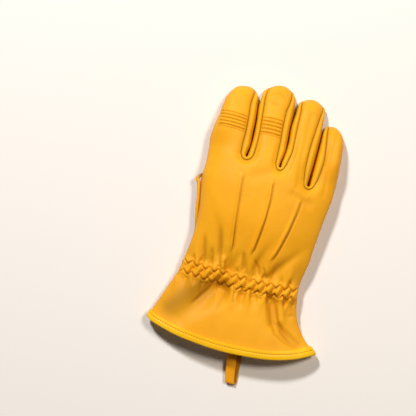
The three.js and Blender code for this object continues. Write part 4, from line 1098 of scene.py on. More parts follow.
def sheet_piece(name, quads, above, below, material, gap=SEAM_GAP):
    """A closed sheet from faces of the skin, with a rounded border that stands back."""
    # only the points that this panel uses, numbered from 0
    used, local = np.unique(quads, return_inverse=True)
    local = local.reshape(quads.shape)
    count = len(used)
    p, n = skin.points[used], skin.normals[used]
    # an edge that no neighbour walks the other way is part of the border
    edges = np.concatenate([local[:, [k, (k + 1) % 4]] for k in range(4)])
    owner = np.tile(np.arange(len(local)), 4)
    real = edges[:, 0] != edges[:, 1]
    edges, owner = edges[real], owner[real]
    code = edges[:, 0].astype(np.int64) * count + edges[:, 1]
    back = edges[:, 1].astype(np.int64) * count + edges[:, 0]
    border = ~np.isin(code, back)
    rim, own = edges[border], owner[border]
    # the border stands back into the sheet by half the gap
    corners = p[local[own]]
    facing = np.cross(corners[:, 2] - corners[:, 0], corners[:, 3] - corners[:, 1])
    facing /= np.maximum(np.linalg.norm(facing, axis=1, keepdims=True), 1e-9)
    along = p[rim[:, 1]] - p[rim[:, 0]]
    along /= np.maximum(np.linalg.norm(along, axis=1, keepdims=True), 1e-9)
    into = np.cross(facing, along)
    total = np.zeros_like(p)
    for k in range(2):
        np.add.at(total, rim[:, k], into)
    scale = gap / 2 / np.maximum(0.5, (total ** 2).sum(1) / 2)
    # the nearness of a seam, for painted shade, fades from the border inward
    near = np.zeros(count)
    near[np.unique(rim)] = 1
    rounding = near.copy()
    seam = near.copy()
    for _ in range(SEAM_REACH):
        spread = seam.copy()
        for k in range(2):
            np.maximum.at(spread, edges[:, k], seam[edges[:, 1 - k]] * SEAM_FADE)
        seam = spread
    # the two faces of the leather, and the cut edge between them
    base = p + total * scale[:, None]
    outer = base + n * (above + skin.relief[used] * (above <= 0) - SEAM_ROUND * rounding)[:, None]
    inner = base + n * (below * skin.wall[used] - (SEAM_ROUND + 0.1) * rounding)[:, None]
    faces = [tidy_face(face) for face in local]
    faces += [[v + count for v in face[::-1]] for face in faces]
    faces += [[b, a, a + count, b + count] for a, b in rim.tolist()]
    points = np.concatenate([outer, inner])
    inside = np.concatenate([np.zeros(count), np.ones(count)])
    # painted shade: darker toward the seams and in the creases
    shade = np.maximum(SEAM_SHADE * seam ** 2.2, skin.crease[used])
    return make_mesh(name, points, faces, material, {"shade": np.tile(shade, 2), "inside": inside})


print("walls of", WALL, "mm")

# %% [markdown]
# Leather is dyed, so its colour is uneven. It has pores and fine wrinkles, and its inside is
# pale and dry. Its creases, grooves and seams are darkened with painted shade. A photograph
# could be laid on it as a texture, but that slides, repeats and brings its own light. Noise
# in the object's own space was chosen. The sums of a shader are easier to read as Python, so
# a small class turns + and * into Math nodes.

# %% Sums of shader values


class Value:
    """A shader value. Python's operators add the Math nodes."""

    def __init__(self, paint, socket):
        self.paint, self.socket = paint, socket

    def math(self, operation, first, second):
        return self.paint.node("ShaderNodeMath", {"operation": operation}, {0: first, 1: second})

    def __add__(self, other):
        return self.math("ADD", self, other)

    def __sub__(self, other):
        return self.math("SUBTRACT", self, other)

    def __rsub__(self, other):
        return self.math("SUBTRACT", other, self)

    def __mul__(self, other):
        return self.math("MULTIPLY", self, other)

    def __pow__(self, other):
        return self.math("POWER", self, other)

    __radd__, __rmul__ = __add__, __mul__


print("operators:", [name for name in ("__add__", "__sub__", "__mul__") if hasattr(Value, name)])

# %% One material


class Paint:
    """One material, with a single method for every kind of node."""

    def __init__(self, name):
        self.material = bpy.data.materials.new(name)
        self.material.use_nodes = True
        self.tree = self.material.node_tree
        self.shader = self.tree.nodes["Principled BSDF"]
        self.place = self.node("ShaderNodeTexCoord", output="Object")

    def fill(self, socket, source):
        """A link from another node, or a plain value."""
        if isinstance(source, Value):
            self.tree.links.new(source.socket, socket)
        else:
            socket.default_value = source

    def node(self, kind, settings=None, inputs=None, output=0):
        """A node of any kind: its settings first, then the values or links of its sockets."""
        node = self.tree.nodes.new(kind)
        for key, value in (settings or {}).items():
            setattr(node, key, value)
        for key, source in (inputs or {}).items():
            self.fill(node.inputs[key], source)
        return Value(self, node.outputs[output])

    def noise(self, scale, detail=3.0, distortion=0.0):
        sizes = {"Vector": self.place, "Scale": scale, "Detail": detail, "Distortion": distortion}
        return self.node("ShaderNodeTexNoise", None, sizes)

    def blend(self, share, one, two):
        one, two = (c if isinstance(c, Value) else (*c, 1) for c in (one, two))
        sockets = {0: share, 6: one, 7: two}
        return self.node("ShaderNodeMix", {"data_type": "RGBA"}, sockets, output=2)

    def attribute(self, name):
        return self.node("ShaderNodeAttribute", {"attribute_name": name}, output="Fac")

    def finish(self, colour, roughness, height, strength):
        sizes = {"Strength": strength, "Distance": 0.0006, "Height": height}
        self.fill(self.shader.inputs["Base Color"], colour)
        self.fill(self.shader.inputs["Roughness"], roughness)
        self.fill(self.shader.inputs["Normal"], self.node("ShaderNodeBump", None, sizes))
        return self.material


print("one method adds every other node:", Paint.node.__name__)

# %% The leather recipe


def leather(name, light, dark, painted_shade_tone, inside_tone, roughness=0.52, grain=1.0):
    """Grained leather, with uneven dye, a pale dry inside and painted shade in creases and seams.
    """
    paint = Paint(name)
    cloudy = paint.noise(28, 4, 0.6)
    mottled = paint.noise(210, 3)
    wrinkled = paint.noise(330, 5, 1.2)
    pores = paint.node("ShaderNodeTexVoronoi", None, {"Vector": paint.place, "Scale": 1500})
    tone = 0.5 + (cloudy - 0.5) * 1.6 + (mottled - 0.5) * 0.5
    colour = paint.blend(tone, dark, light)
    # painted shade: the shade attribute turns the colour toward a dark tone in creases and seams
    colour = paint.blend(paint.attribute("shade") * 0.8, colour, painted_shade_tone)
    colour = paint.blend(paint.attribute("inside"), colour, inside_tone)
    rough = roughness + (mottled - 0.5) * 0.22 + (cloudy - 0.5) * 0.16
    height = pores * (0.3 * grain) + wrinkled * (0.45 * grain) + mottled * 0.3
    paint.shader.inputs["Specular IOR Level"].default_value = 0.2
    return paint.finish(colour, rough, height, 0.3)


print("the recipe is", leather.__name__)

# %% The finishes of this glove
GOLD = leather("gold_leather", (0.95, 0.445, 0.012), (0.88, 0.37, 0.008), (0.36, 0.155, 0.004),
               (0.30, 0.18, 0.07))
# painted light: a lighter, yellower copy of the gold for the strips, which face sideways
STRIP_GOLD_LIGHTENED = leather("strip_gold_lightened", (1.0, 0.55, 0.013), (0.95, 0.47, 0.009),
                     (0.36, 0.13, 0.004), (0.30, 0.18, 0.07), roughness=0.56)
BROWN = leather("brown_leather", (0.50, 0.20, 0.065), (0.40, 0.145, 0.045), (0.20, 0.06, 0.02),
                (0.30, 0.15, 0.06), roughness=0.62, grain=1.5)
YELLOW = leather("yellow_binding", (0.98, 0.57, 0.008), (0.92, 0.48, 0.006), (0.70, 0.27, 0.006),
                 (0.80, 0.45, 0.02), roughness=0.40, grain=0.6)
LOOP_GOLD = leather("loop_gold", (1.0, 0.43, 0.010), (0.86, 0.35, 0.008), (0.32, 0.12, 0.006),
                    (0.30, 0.17, 0.05), roughness=0.55)
THREAD = leather("gold_thread", (0.66, 0.28, 0.012), (0.52, 0.20, 0.008), (0.8, 0.4, 0.03),
                 (0.8, 0.4, 0.03), roughness=0.6, grain=0.5)
HEM_THREAD = leather("hem_thread", (0.78, 0.33, 0.010), (0.66, 0.25, 0.008), (0.8, 0.4, 0.03),
                     (0.8, 0.4, 0.03), roughness=0.6, grain=0.5)
RAW_EDGE = leather("raw_edge", (0.55, 0.33, 0.12), (0.42, 0.23, 0.07), (0.35, 0.18, 0.06),
                   (0.4, 0.25, 0.1), roughness=0.75, grain=1.6)
print("materials ready")

# %% [markdown]
# The three large pieces are the back, the palm and the thumb, in smooth gold leather. The
# strips between the fingers are duller, and their gold is painted lighter to stand in for light.
# Each piece rides on the frame's one body and takes the place of its plain solid.

# %% Panels


def place(piece, node, slot):
    """Rides a piece on the body and names the solid that it replaces. Its slot is not used."""
    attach(piece, "root")
    if node:
        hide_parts(node)
    return piece


for node in ("back_panel", "palm_panel", "thumb"):
    place(sheet_piece("leather_" + node, skin.faces[node], 0, -WALL, GOLD), node, "leather")
for node in STRIPS:
    strip = sheet_piece("leather_" + node, skin.faces[node], 0, -WALL, STRIP_GOLD_LIGHTENED)
    place(strip, node, "strip_leather")
print("panels built")

# %% [markdown]
# Brown patches of rough leather protect the palm where it grips, and the cuff. They are thin
# sheets sewn on top, so they follow every rise of the palm. The Shrinkwrap modifier could
# drape them. A ray cast up to the palm from each point of a grid was chosen, because it
# gives the stitches their places in the same way.

# %% Outlines of the patches
PATCH_WALL = 1.0
PATCH_GAP = 0.3
PALM_PATCH = table(
    "x bottom top",
    (-57, 133, 162), (-52, 129, 167.5), (-46, 128, 168), (-38, 127, 165), (-20, 126, 162.5),
    (0, 125.5, 161.5), (4.5, 124, 161.5), (7, 106, 161), (9, 101.5, 160.8), (19, 88.5, 158.6),
    (27, 80, 154.6), (33, 79, 151.6), (39, 80.5, 149.6),
    (42, 84, 149.6), (45, 95, 150), (48, 112, 149.6), (50, 125, 149), (51.5, 133, 148),
)
CUFF_PATCH = table(
    "x bottom top",
    (-16.5, 8, 17), (-16, 7, 20.5), (-14.5, 6.8, 23.6), (-12, 6.6, 25.8), (-8, 6.4, 27),
    (0, 6.2, 27.6), (12, 6.2, 27.6), (24, 6.4, 27), (28, 6.6, 25.8), (30.5, 6.8, 23.6),
    (32, 7, 20.5), (32.5, 8, 17),
)
print("palm patch", float(PALM_PATCH["x"][-1] - PALM_PATCH["x"][0]), "mm wide")

# %% Finding the leather's surface


def surface(name):
    """A piece's mesh, made ready to be hit by rays."""
    mesh = bpy.data.objects[name].data
    points = [v.co[:] for v in mesh.vertices]
    return BVHTree.FromPolygons(points, [p.vertices[:] for p in mesh.polygons])


def touch(tree, x, y, down):
    """Where the leather lies above or below a place in plan, and its facing, in metres."""
    from_z, way = (0.2, -1) if down else (-0.1, 1)
    return tree.ray_cast(Vector((x * MM, y * MM, from_z)), Vector((0, 0, way)))[:2]


palm_tree = surface("leather_palm_panel")
print("the palm lies", round(touch(palm_tree, 0, 40, False)[0].z / MM, 2), "mm above the table")

# %% A thin sheet on a grid


def grid_sheet(points, low, high):
    """Two layers over a grid of points, with a rounded border. The normals face down."""
    way = np.cross(np.gradient(points, axis=0), np.gradient(points, axis=1))
    way /= np.maximum(np.linalg.norm(way, axis=2, keepdims=True), 1e-9)
    border = np.zeros(points.shape[:2])
    border[[0, -1]] = border[:, [0, -1]] = 1
    outer = points + way * (high - SEAM_ROUND * border)[..., None]
    both = np.concatenate([outer.reshape(-1, 3), (points + way * low).reshape(-1, 3)])
    count = points.shape[0] * points.shape[1]
    index = np.arange(count).reshape(points.shape[:2])
    quads = np.stack([index[:-1, :-1], index[1:, :-1], index[1:, 1:], index[:-1, 1:]], -1)
    quads = quads.reshape(-1, 4)
    sides = (index[0], index[1:, -1], index[-1, -2::-1], index[-2:0:-1, 0])
    loop = np.concatenate(sides).tolist()
    faces = quads.tolist() + (quads[:, ::-1] + count).tolist()
    faces += [[a, b, b + count, a + count] for a, b in zip(loop, loop[1:] + loop[:1])]
    shade = np.concatenate([border.reshape(-1), np.zeros(count)]) * 0.8
    return both, faces, {"shade": shade, "inside": np.zeros(2 * count)}


print("a patch is", PATCH_WALL, "mm thick")

# %% The patches, draped


def draped_patch(name, outline, columns, rows):
    """A patch between its lower and upper edge, pressed up against the palm."""
    x = np.linspace(outline["x"][0], outline["x"][-1], columns + 1)
    lower, upper = (np.interp(x, outline["x"], outline[k]) for k in ("bottom", "top"))
    y = mix(lower, upper, np.linspace(0, 1, rows + 1)[:, None])
    points = np.zeros((rows + 1, columns + 1, 3))
    for i in range(rows + 1):
        for j in range(columns + 1):
            spot, _ = touch(palm_tree, x[j], y[i, j], False)
            points[i, j] = np.array(spot) / MM if spot else points[i, j - 1]
    both, faces, marks = grid_sheet(points, PATCH_GAP, PATCH_GAP + PATCH_WALL)
    return make_mesh(name, both, faces, BROWN, marks)


place(draped_patch("brown_palm_patch", PALM_PATCH, 120, 60), "palm_patch", "patch_leather")
place(draped_patch("brown_cuff_patch", CUFF_PATCH, 70, 30), "cuff_patch", "patch_leather")
print("patches built")

# %% [markdown]
# The hem is bound with a bright yellow strip, folded over the edge and stitched through. A
# tube along the edge would look like a cord. A real binding has a flat outer leg, a rounded
# nose and an inner leg, so that section is laid at each column of the cuff, round the hem.

# %% Hem binding
BINDING_WALL = 1.0
BINDING_ROWS = int(np.abs(CUFF_SHARES - BINDING_SHARE).argmin())
GROOVE_ROW = 0.56
NOSE_OUT = 0.9
NOSE_TURN = 0.35


def binding_piece():
    """The binding's section at each column round the hem, joined into a closed ring."""
    last = palm_hand.shape[1] - 1
    columns = [back_hand[:BINDING_ROWS + 1, j] for j in range(last + 1)]
    columns += [palm_hand[:BINDING_ROWS + 1, j] for j in range(last - 1, 0, -1)]
    rings = []
    for ids in columns:
        p, n = skin.points[ids], skin.normals[ids]
        past = p[0] - p[2]
        past /= np.linalg.norm(past)
        level = np.arange(len(ids)) / (len(ids) - 1)
        swell = 0.22 * np.sin(np.clip(level * 1.25, 0, 1) * math.pi)
        groove = 0.42 * gauss(level - GROOVE_ROW, 0.1)
        outer_lift = SEAM_GAP + BINDING_WALL + (swell - groove)
        outer = p + n * outer_lift[:, None]
        inner_lift = -WALL - SEAM_GAP - BINDING_WALL
        inner = p + n * inner_lift
        under_out = p + n * SEAM_GAP
        under_in = p + n * (-WALL - SEAM_GAP)
        nose = []
        centre = (outer_lift[0] + inner_lift) / 2
        half = (outer_lift[0] - inner_lift) / 2
        for turn in np.linspace(NOSE_TURN, math.pi - NOSE_TURN, 7):
            out = SEAM_GAP + 0.2 + NOSE_OUT * math.sin(turn)
            nose.append(p[0] + past * out + n[0] * (centre + half * math.cos(turn)))
        mouth = [p[0] + past * SEAM_GAP + n[0] * lift for lift in (-WALL - SEAM_GAP, SEAM_GAP)]
        rings.append(np.concatenate([outer[::-1], nose, inner, under_in[::-1], mouth, under_out]))
    rings = np.array(rings)
    steps, width = rings.shape[:2]
    index = np.arange(steps * width).reshape(steps, width)
    around = np.roll(index, -1, axis=0)
    faces = np.stack([index, np.roll(index, -1, 1), np.roll(around, -1, 1), around], -1)
    faces = faces.reshape(-1, 4)
    return make_mesh("yellow_binding", rings.reshape(-1, 3), faces.tolist(), YELLOW,
                     {"shade": np.zeros(steps * width), "inside": np.zeros(steps * width)})


place(binding_piece(), "cuff_binding", "binding")
print("binding built")

# %% [markdown]
# The pull loop is a strap folded in two, by which the glove is pulled on or hung up. It
# comes out of the cuff and sags to the table. A ribbon with Solidify would have sharp
# edges, so a small eight-sided section runs down the lower layer, round the fold and back.

# %% Sizes of the pull loop
LOOP = table(
    "y x low high",
    (-31, 0.3, 0.1, 3.4), (-26, -0.3, 0.4, 4.4), (-18, -1.2, 1.6, 6.0), (-10, -2, 3.6, 7.6),
    (-4, -2.6, 4.8, 8.2), (6, -3.6, 4.9, 7.2), (16, -4.6, 4.9, 6.8),
)
LOOP_WIDTH = 8.8
LOOP_WALL = 1.3
LOOP_SHIFT = 2.7
print("the loop reaches", -float(LOOP["y"][0]), "mm past the hem's middle")

# %% Pull loop


def strap_piece():
    """The lower layer, the fold and the upper layer, as one strap with rounded edges."""
    y = np.linspace(16, -31, 40)
    x, low, high = (read(LOOP, k, y) for k in ("x", "low", "high"))
    turn = np.linspace(0, math.pi, 9)[1:-1]
    middle = (low[-1] + high[-1]) / 2 + LOOP_WALL / 2
    radius = (high[-1] - low[-1]) / 2
    lower = x + mix(LOOP_SHIFT, 2 * LOOP_SHIFT, np.clip((y - y[-1]) / 28, 0, 1))
    cx = np.concatenate([lower, mix(lower[-1], x[-1], turn / math.pi), x[::-1]])
    cy = np.concatenate([y, y[-1] - 1.6 * np.sin(turn), y[::-1]])
    fold = middle - LOOP_WALL / 2 - radius * np.cos(turn)
    cz = np.concatenate([low, fold, high[::-1]]) + LOOP_WALL / 2
    line = np.stack([cx, cy, cz], -1)
    way = np.gradient(line, axis=0)
    way /= np.linalg.norm(way, axis=1, keepdims=True)
    up = np.cross(np.array([1.0, 0, 0]), way)
    up /= np.linalg.norm(up, axis=1, keepdims=True)
    half, thick = LOOP_WIDTH / 2, LOOP_WALL / 2
    inset = half - 0.4
    corner = [(-half, -thick / 2), (-half, thick / 2), (-inset, thick), (inset, thick),
              (half, thick / 2), (half, -thick / 2), (inset, -thick), (-inset, -thick)]
    rings = np.stack([line + np.array([1.0, 0, 0]) * s + up * t for s, t in corner], 1)
    steps, width = rings.shape[:2]
    index = np.arange(steps * width).reshape(steps, width)
    faces = []
    for i in range(steps - 1):
        for k in range(width):
            m = (k + 1) % width
            faces.append([index[i, k], index[i, m], index[i + 1, m], index[i + 1, k]])
    faces.append(list(index[0][::-1]))
    faces.append(list(index[-1]))
    # painted shade on the strap's lower leg, which lies under the upper one
    under = np.repeat(0.9 * (np.arange(steps) < len(y) + 3), width)
    return make_mesh("loop_strap", rings.reshape(-1, 3), faces, LOOP_GOLD,
                     {"shade": under, "inside": np.zeros(steps * width)})


place(strap_piece(), "pull_loop", "loop_leather")
print("pull loop built")

# %% [markdown]
# Beside the thumb the palm's seam is rolled outwards, and its end, a raw cut tab, peeps out
# at the left of the hand. It is a rounded cord of leather. A curve with a bevel would make
# it. A swept section was chosen, because its width can change along the path in millimetres.

# %% Sweep a cord along a path
SWEEP_SIDES = 14


def sweep(line, half_wide, half_high, around=SWEEP_SIDES):
    """A closed cord along a line, with an oval section and flat ends."""
    way = np.gradient(line, axis=0)
    way /= np.linalg.norm(way, axis=1, keepdims=True)
    side = np.cross(way, np.array([0.0, 0.0, 1.0]))
    side /= np.linalg.norm(side, axis=1, keepdims=True)
    rise = np.cross(side, way)
    turn = np.linspace(0, 2 * math.pi, around, endpoint=False)
    rings = line[:, None] + side[:, None] * (half_wide[:, None] * np.cos(turn))[..., None]
    rings = rings + rise[:, None] * (half_high[:, None] * np.sin(turn))[..., None]
    index = np.arange(len(line) * around).reshape(len(line), around)
    ahead = np.roll(index, -1, 1)
    faces = np.stack([index[:-1], index[1:], ahead[1:], ahead[:-1]], -1).reshape(-1, 4).tolist()
    faces += [index[0].tolist(), index[-1, ::-1].tolist()]
    return rings.reshape(-1, 3), faces


print("cords have", SWEEP_SIDES, "sides")

# %% Side welt
WELT_PATH = table(
    "t x y z half",
    (0, -63.8, 155.2, 12.8, 0.9), (0.06, -66.6, 153.4, 12, 1.5), (0.12, -68.8, 149.8, 11.4, 1.8),
    (0.2, -66.8, 146.4, 11.6, 1.8), (0.45, -64.4, 134, 11.8, 1.8), (0.7, -63, 120, 11.2, 1.7),
    (0.9, -61.2, 108, 11, 1.4), (1, -60.2, 100, 11, 0.9),
)


def side_welt():
    """The rolled seam. Its upper end is raw leather, as pale as the inside."""
    t = np.linspace(0, 1, 90)
    x, y, z, half = (read(WELT_PATH, k, t, "t") for k in ("x", "y", "z", "half"))
    points, faces = sweep(np.stack([x, y, z], -1), half, half * 0.9)
    raw = np.repeat(1 - ease((t - 0.03) / 0.1), SWEEP_SIDES)
    zero = np.zeros(len(points))
    return make_mesh("side_welt", points, faces, GOLD, {"shade": zero, "inside": raw})


place(side_welt(), None, "leather")
print("side welt built")

# %% [markdown]
# Hundreds of stitches hold the glove together, and on gold leather they are what tells it
# from a toy. Modelling each would never end, so Geometry Nodes lay them. The tree turns a
# path into a curve, cuts it into stitch lengths, and puts one small rounded stitch at each
# step, turned along the path. Its sizes are inputs, so one tree sews every seam.

# %% The stitching tree


def stitch_group():
    """A tree that sews along a path. Its sizes and its thread are named inputs."""
    tree = bpy.data.node_groups.new("stitch_line", "GeometryNodeTree")
    sockets = tree.interface.new_socket
    sockets("Geometry", in_out="INPUT", socket_type="NodeSocketGeometry")
    for label in ("Spacing", "Length", "Radius"):
        sockets(label, in_out="INPUT", socket_type="NodeSocketFloat")
    sockets("Material", in_out="INPUT", socket_type="NodeSocketMaterial")
    sockets("Geometry", in_out="OUTPUT", socket_type="NodeSocketGeometry")
    make = tree.nodes.new
    entry, leave = make("NodeGroupInput"), make("NodeGroupOutput")
    curve, sample = make("GeometryNodeMeshToCurve"), make("GeometryNodeResampleCurve")
    ball, shape = make("GeometryNodeMeshUVSphere"), make("GeometryNodeTransform")
    tangent, align = make("GeometryNodeInputTangent"), make("FunctionNodeAlignRotationToVector")
    scale = make("ShaderNodeCombineXYZ")
    spread, real = make("GeometryNodeInstanceOnPoints"), make("GeometryNodeRealizeInstances")
    paint, smooth = make("GeometryNodeSetMaterial"), make("GeometryNodeSetShadeSmooth")
    sample.mode = "LENGTH"
    align.axis = "Z"
    for label, value in (("Radius", 1.0), ("Segments", 8), ("Rings", 5)):
        ball.inputs[label].default_value = value
    for source, out, target, into in (
        (entry, "Geometry", curve, "Mesh"), (curve, "Curve", sample, "Curve"),
        (entry, "Spacing", sample, "Length"), (entry, "Radius", scale, "X"),
        (entry, "Radius", scale, "Y"), (entry, "Length", scale, "Z"),
        (ball, "Mesh", shape, "Geometry"), (scale, "Vector", shape, "Scale"),
        (tangent, "Tangent", align, "Vector"), (sample, "Curve", spread, "Points"),
        (shape, "Geometry", spread, "Instance"), (align, "Rotation", spread, "Rotation"),
        (spread, "Instances", smooth, "Geometry"), (smooth, "Geometry", real, "Geometry"),
        (real, "Geometry", paint, "Geometry"), (entry, "Material", paint, "Material"),
        (paint, "Geometry", leave, "Geometry"),
    ):
        tree.links.new(source.outputs[out], target.inputs[into])
    return tree


STITCHES = stitch_group()
print("stitching tree with", len(STITCHES.nodes), "nodes")

# %% Paths laid on the leather


def on_surface(tree, x, y, lift, down=True):
    """A point just off the leather above or below a place in plan, in metres."""
    spot, normal = touch(tree, x, y, down)
    return None if spot is None else spot + normal * lift * MM


def dense(path, step=0.6):
    """A finer path, in equal steps."""
    path = np.array(path, float)
    lengths = np.concatenate([[0], np.cumsum(np.hypot(*np.diff(path, axis=0).T))])
    at = np.arange(0, lengths[-1], step)
    return np.stack([np.interp(at, lengths, path[:, k]) for k in range(2)], -1)


print("a 3 mm path in steps of 0.6 mm has", len(dense([(0, 0), (3, 0)])), "points")

# %% Sew along paths


def stitch_piece(name, paths, spacing, length, radius, material, slot, sink=0.05):
    """Stitches along paths, each laid on a surface, or given in millimetres without one."""
    points, edges = [], []
    for tree, path, down in paths:
        if tree:
            spots = [on_surface(tree, x, y, radius - sink, down) for x, y in path]
        else:
            spots = [Vector(spot) * MM for spot in path]
        spots = [s for s in spots if s is not None]
        start = len(points)
        points += spots
        edges += [(start + i, start + i + 1) for i in range(len(spots) - 1)]
    mesh = bpy.data.meshes.new(name)
    mesh.from_pydata(points, edges, [])
    piece = bpy.data.objects.new(name, mesh)
    bpy.context.scene.collection.objects.link(piece)
    modifier = piece.modifiers.new("stitches", "NODES")
    modifier.node_group = STITCHES
    values = {"Spacing": spacing * MM, "Length": length / 2 * MM, "Radius": radius * MM,
              "Material": material}
    for item in STITCHES.interface.items_tree:
        if item.in_out == "INPUT" and item.name in values:
            modifier[item.identifier] = values[item.name]
    bpy.context.view_layer.update()
    sewn = piece.evaluated_get(bpy.context.evaluated_depsgraph_get())
    plain = bpy.data.meshes.new_from_object(sewn)
    piece.modifiers.clear()
    piece.data = plain
    plain.name = name
    plain.materials.clear()
    plain.materials.append(material)
    plain.polygons.foreach_set("material_index", [0] * len(plain.polygons))
    for key in ("shade", "inside"):
        if key not in plain.attributes:
            plain.attributes.new(key, "FLOAT", "POINT")
    place(piece, None, slot)
    print(name, len(plain.polygons), "faces")
    return piece


print("stitches of", THREAD.name, "and", HEM_THREAD.name)

# %% [markdown]
# On the back the thread shows in the zigzag rows, in the valleys of the ribs, beside the
# tucks and along the binding. The paths come from the same functions that shaped the
# leather, so the thread lies in its own groove however the tables change.

# %% Stitches of the zigzag rows
back_tree = surface("leather_back_panel")


def zigzag_lines(tree, starts, end, down):
    """The two zigzag rows as paths on a surface."""
    spans = [np.arange(start, end, 0.5) for start in starts]
    return [(tree, dense(np.stack([x, row_y(row, x)], -1)), down) for row, x in enumerate(spans)]


stitch_piece("zigzag_stitches", zigzag_lines(back_tree, (-64, -66), 45, True), 1.9, 1.7, 0.3,
             THREAD, "leather", sink=0.12)

# %% Stitches of the ribs and tucks
LAST_ROW_BELOW = 1.9
BESIDE_TUCK = 0.9
rib_lines = []
for x0, x1, first, pitch, slope, count in zip(*RIBS.values()):
    x = np.arange(x0 + 0.8, x1 - 0.4, 0.5)
    lowest = first + rib_arch(x, x0, x1) - slope * (x - (x0 + x1) / 2)
    for step in [pitch * k for k in range(int(count))] + [-LAST_ROW_BELOW]:
        rib_lines.append((back_tree, np.stack([x, lowest + step], -1), True))
stitch_piece("rib_stitches", rib_lines, 1.9, 1.5, 0.2, THREAD, "leather", sink=0.08)
tuck_lines = []
for path in tuck_paths():
    moved = [(x + BESIDE_TUCK, y) for x, y in path]
    tuck_lines.append((back_tree, dense(moved), True))
stitch_piece("tuck_stitches", tuck_lines, 2.4, 1.9, 0.13, THREAD, "leather", sink=0.11)

# %% Stitches of the hem
binding_tree = surface("yellow_binding")
hem_points = skin.points[back_hand[round(BINDING_ROWS * GROOVE_ROW)]][2:-2]
hem_line = [(binding_tree, dense(hem_points[:, :2]), True)]
stitch_piece("binding_stitches", hem_line, 2.7, 2.1, 0.38, HEM_THREAD, "binding", sink=0.1)

# %% [markdown]
# Beneath, thread runs round both patches, along the zigzag rows and down the thumb's seam.
# Rays from below find the leather here. The same small tree sews all of it.

# %% Stitches of the patches
for tree_name, outline, rows in (("brown_palm_patch", PALM_PATCH, (1.8,)),
                                 ("brown_cuff_patch", CUFF_PATCH, (1.4, 3.6))):
    tree = surface(tree_name)
    lines = []
    for inset in rows:
        x = np.arange(outline["x"][0] + inset, outline["x"][-1] - inset, 0.5)
        for edge, sign in (("top", -1), ("bottom", 1)):
            y = np.interp(x, outline["x"], outline[edge]) + sign * inset
            lines.append((tree, dense(np.stack([x, y], -1)), False))
    stitch_piece(tree_name + "_stitches", lines, 2.3, 1.7, 0.22, THREAD, "patch_leather", sink=0.08)

# %% Stitches of the palm and thumb
stitch_piece("palm_zigzag_stitches", zigzag_lines(palm_tree, (-60, -60), 42, False), 1.9, 1.7, 0.28,
             THREAD, "leather", sink=0.12)
thumb_tree = surface("leather_thumb")
thumb_lines = [(thumb_tree, dense([(x + shift, y) for x, y in THUMB_SEAM]), False)
               for shift in (1.2, 3.0)]
stitch_piece("thumb_stitches", thumb_lines, 2.3, 1.6, 0.2, THREAD, "leather", sink=0.12)
print("stitches laid")

# %% [markdown]
# On the palm side the fingers are sewn with the raw edges outwards, so that no ridge presses
# on the skin inside. Each edge is a narrow cord of tan leather along its seam, round the
# tips of the middle and ring finger. A whip stitch slants over it. The seam's own points
# are reused, then smoothed and spaced evenly.

# %% Raw seams
SEAM_OUT = 1.1
SEAM_SINK = 0.9
EDGE_STEP = 0.8
EDGE_HALF_WIDE = 1.15
EDGE_HALF_HIGH = 0.85


def raw_seam(name, ids):
    """A cut edge along seam points of the skin. It gives back the line it follows."""
    line = skin.points[ids] - skin.normals[ids] * [[SEAM_OUT, SEAM_OUT, 0]]
    step = np.linalg.norm(np.diff(line, axis=0), axis=1)
    length = np.concatenate([[0], np.cumsum(step)])
    even = np.linspace(0, length[-1], int(length[-1] / EDGE_STEP))
    line = np.stack([np.interp(even, length, line[:, k]) for k in range(3)], -1)
    for _ in range(4):
        line[1:-1] = (line[:-2] + 2 * line[1:-1] + line[2:]) / 4
    line[:, 2] -= SEAM_SINK
    fade = np.minimum(1, np.minimum(np.arange(len(line)), np.arange(len(line))[::-1]) / 6 + 0.3)
    points, faces = sweep(line, EDGE_HALF_WIDE * fade, EDGE_HALF_HIGH * fade)
    zero = np.zeros(len(points))
    edge = make_mesh(name, points, faces, RAW_EDGE, {"shade": zero, "inside": zero})
    place(edge, None, "leather")
    return line


def round_the_finger(grid):
    """The seam points of a finger: up its left side, across the tip and down its right side."""
    return np.concatenate([grid[:, 0], grid[-1, 1:-1], grid[::-1, -1]])


palm_fingers = [palm for _, palm in fingers]
SEAM_IDS = {
    "index": palm_fingers[0][:, -1],
    "middle": round_the_finger(palm_fingers[1]),
    "ring": round_the_finger(palm_fingers[2]),
    "little": palm_fingers[3][:, 0],
}
seam_lines = {name: raw_seam("raw_seam_" + name, ids) for name, ids in SEAM_IDS.items()}
print("raw seams on", ", ".join(seam_lines))

# %% Whip stitches over the raw seams
WHIP_REACH = 0.9
WHIP_SINK = 0.55
whip = []
for line in seam_lines.values():
    way = np.gradient(line, axis=0)
    across = np.stack([-way[:, 1], way[:, 0]], -1)
    across /= np.maximum(np.linalg.norm(across, axis=1, keepdims=True), 1e-9)
    turns = np.where(np.arange(len(line)) % 4 < 2, 1.0, -1.0)
    moved = line.copy()
    moved[:, :2] += across * turns[:, None] * WHIP_REACH
    moved[:, 2] -= WHIP_SINK
    whip.append((None, moved[8:-8:2], False))
stitch_piece("raw_seam_stitches", whip, 1.0, 1.1, 0.22, THREAD, "leather")

# %% [markdown]
# The glove lies on a plain pale floor. A large soft lamp to the upper left gives the shapes
# their shade, a warmer one to the right fills it, and a weak sky keeps the shadows open.
# The camera looks almost straight down, turned so that the cuff comes toward it at the left.
# A sun lamp would be simpler, but its shadows have hard edges, which a studio avoids.

# %% Floor
FLOOR_HALF = 2.0
FLOOR_Z = -0.0006
corners = [(-FLOOR_HALF, -FLOOR_HALF), (FLOOR_HALF, -FLOOR_HALF), (FLOOR_HALF, FLOOR_HALF),
           (-FLOOR_HALF, FLOOR_HALF)]
floor_mesh = bpy.data.meshes.new("floor")
floor_mesh.from_pydata([(x, y, FLOOR_Z) for x, y in corners], [], [(0, 1, 2, 3)])
floor = bpy.data.objects.new("floor", floor_mesh)
bpy.context.scene.collection.objects.link(floor)
pale = Paint("pale_floor")
pale.fill(pale.shader.inputs["Base Color"], (0.90, 0.87, 0.845, 1))
pale.fill(pale.shader.inputs["Roughness"], 0.75)
floor_mesh.materials.append(pale.material)
print("floor at", FLOOR_Z, "m")

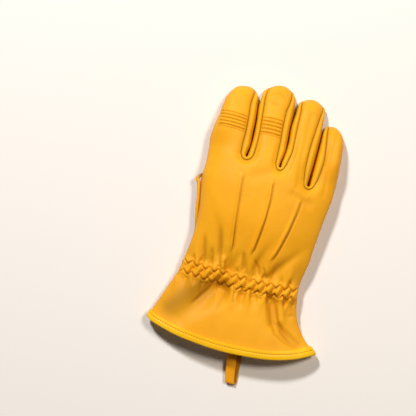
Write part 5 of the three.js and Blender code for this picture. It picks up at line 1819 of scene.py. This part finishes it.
# %% Lamps and sky
TILT = math.radians(12)
CENTRE = (-53.3, 124.4, 14.0)
up_way = Vector((-math.sin(TILT), math.cos(TILT), 0))
right_way = Vector((math.cos(TILT), math.sin(TILT), 0))
target = Vector([v * MM for v in CENTRE])


def area_light(name, right, upward, height, size, power, colour):
    """A round soft lamp that faces the glove, placed in metres as the camera sees it."""
    light = bpy.data.lights.new(name, "AREA")
    light.shape, light.size, light.energy, light.color = "DISK", size, power, colour
    lamp = bpy.data.objects.new(name, light)
    lamp.location = target + right_way * right + up_way * upward + Vector((0, 0, height))
    lamp.rotation_euler = (target - lamp.location).to_track_quat("-Z", "Y").to_euler()
    bpy.context.scene.collection.objects.link(lamp)


area_light("key", -0.64, 1.44, 1.76, 0.32, 44.0, (1.0, 0.985, 0.975))
area_light("second", 0.80, 0.50, 1.80, 0.48, 20.5, (1.0, 0.90, 0.78))
world = bpy.data.worlds.new("studio")
world.use_nodes = True
world.node_tree.nodes["Background"].inputs["Color"].default_value = (1.0, 0.98, 0.96, 1)
world.node_tree.nodes["Background"].inputs["Strength"].default_value = 0.065
bpy.context.scene.world = world
bpy.context.scene.view_settings.view_transform = "Standard"

# %% Camera
MM_PER_PIXEL = 0.94
FRAME_PIXELS = 416
SENSOR_MM = 36
CAMERA_LEAN = math.radians(2)
CAMERA_DISTANCE = 1.6
camera = bpy.data.objects.new("camera", bpy.data.cameras.new("camera"))
camera.data.sensor_width = SENSOR_MM
frame_width = FRAME_PIXELS * MM_PER_PIXEL * MM
camera.data.lens = SENSOR_MM * CAMERA_DISTANCE / frame_width
toward = Vector((0, 0, math.cos(CAMERA_LEAN))) - up_way * math.sin(CAMERA_LEAN)
camera.location = target + toward * CAMERA_DISTANCE
view = -toward
side_axis = view.cross(up_way).normalized()
top_axis = side_axis.cross(view).normalized()
turn = Matrix((side_axis, top_axis, -view)).transposed()
camera.rotation_euler = turn.to_euler()
bpy.context.scene.collection.objects.link(camera)
bpy.context.scene.camera = camera
print("camera at", tuple(round(v, 3) for v in camera.location))
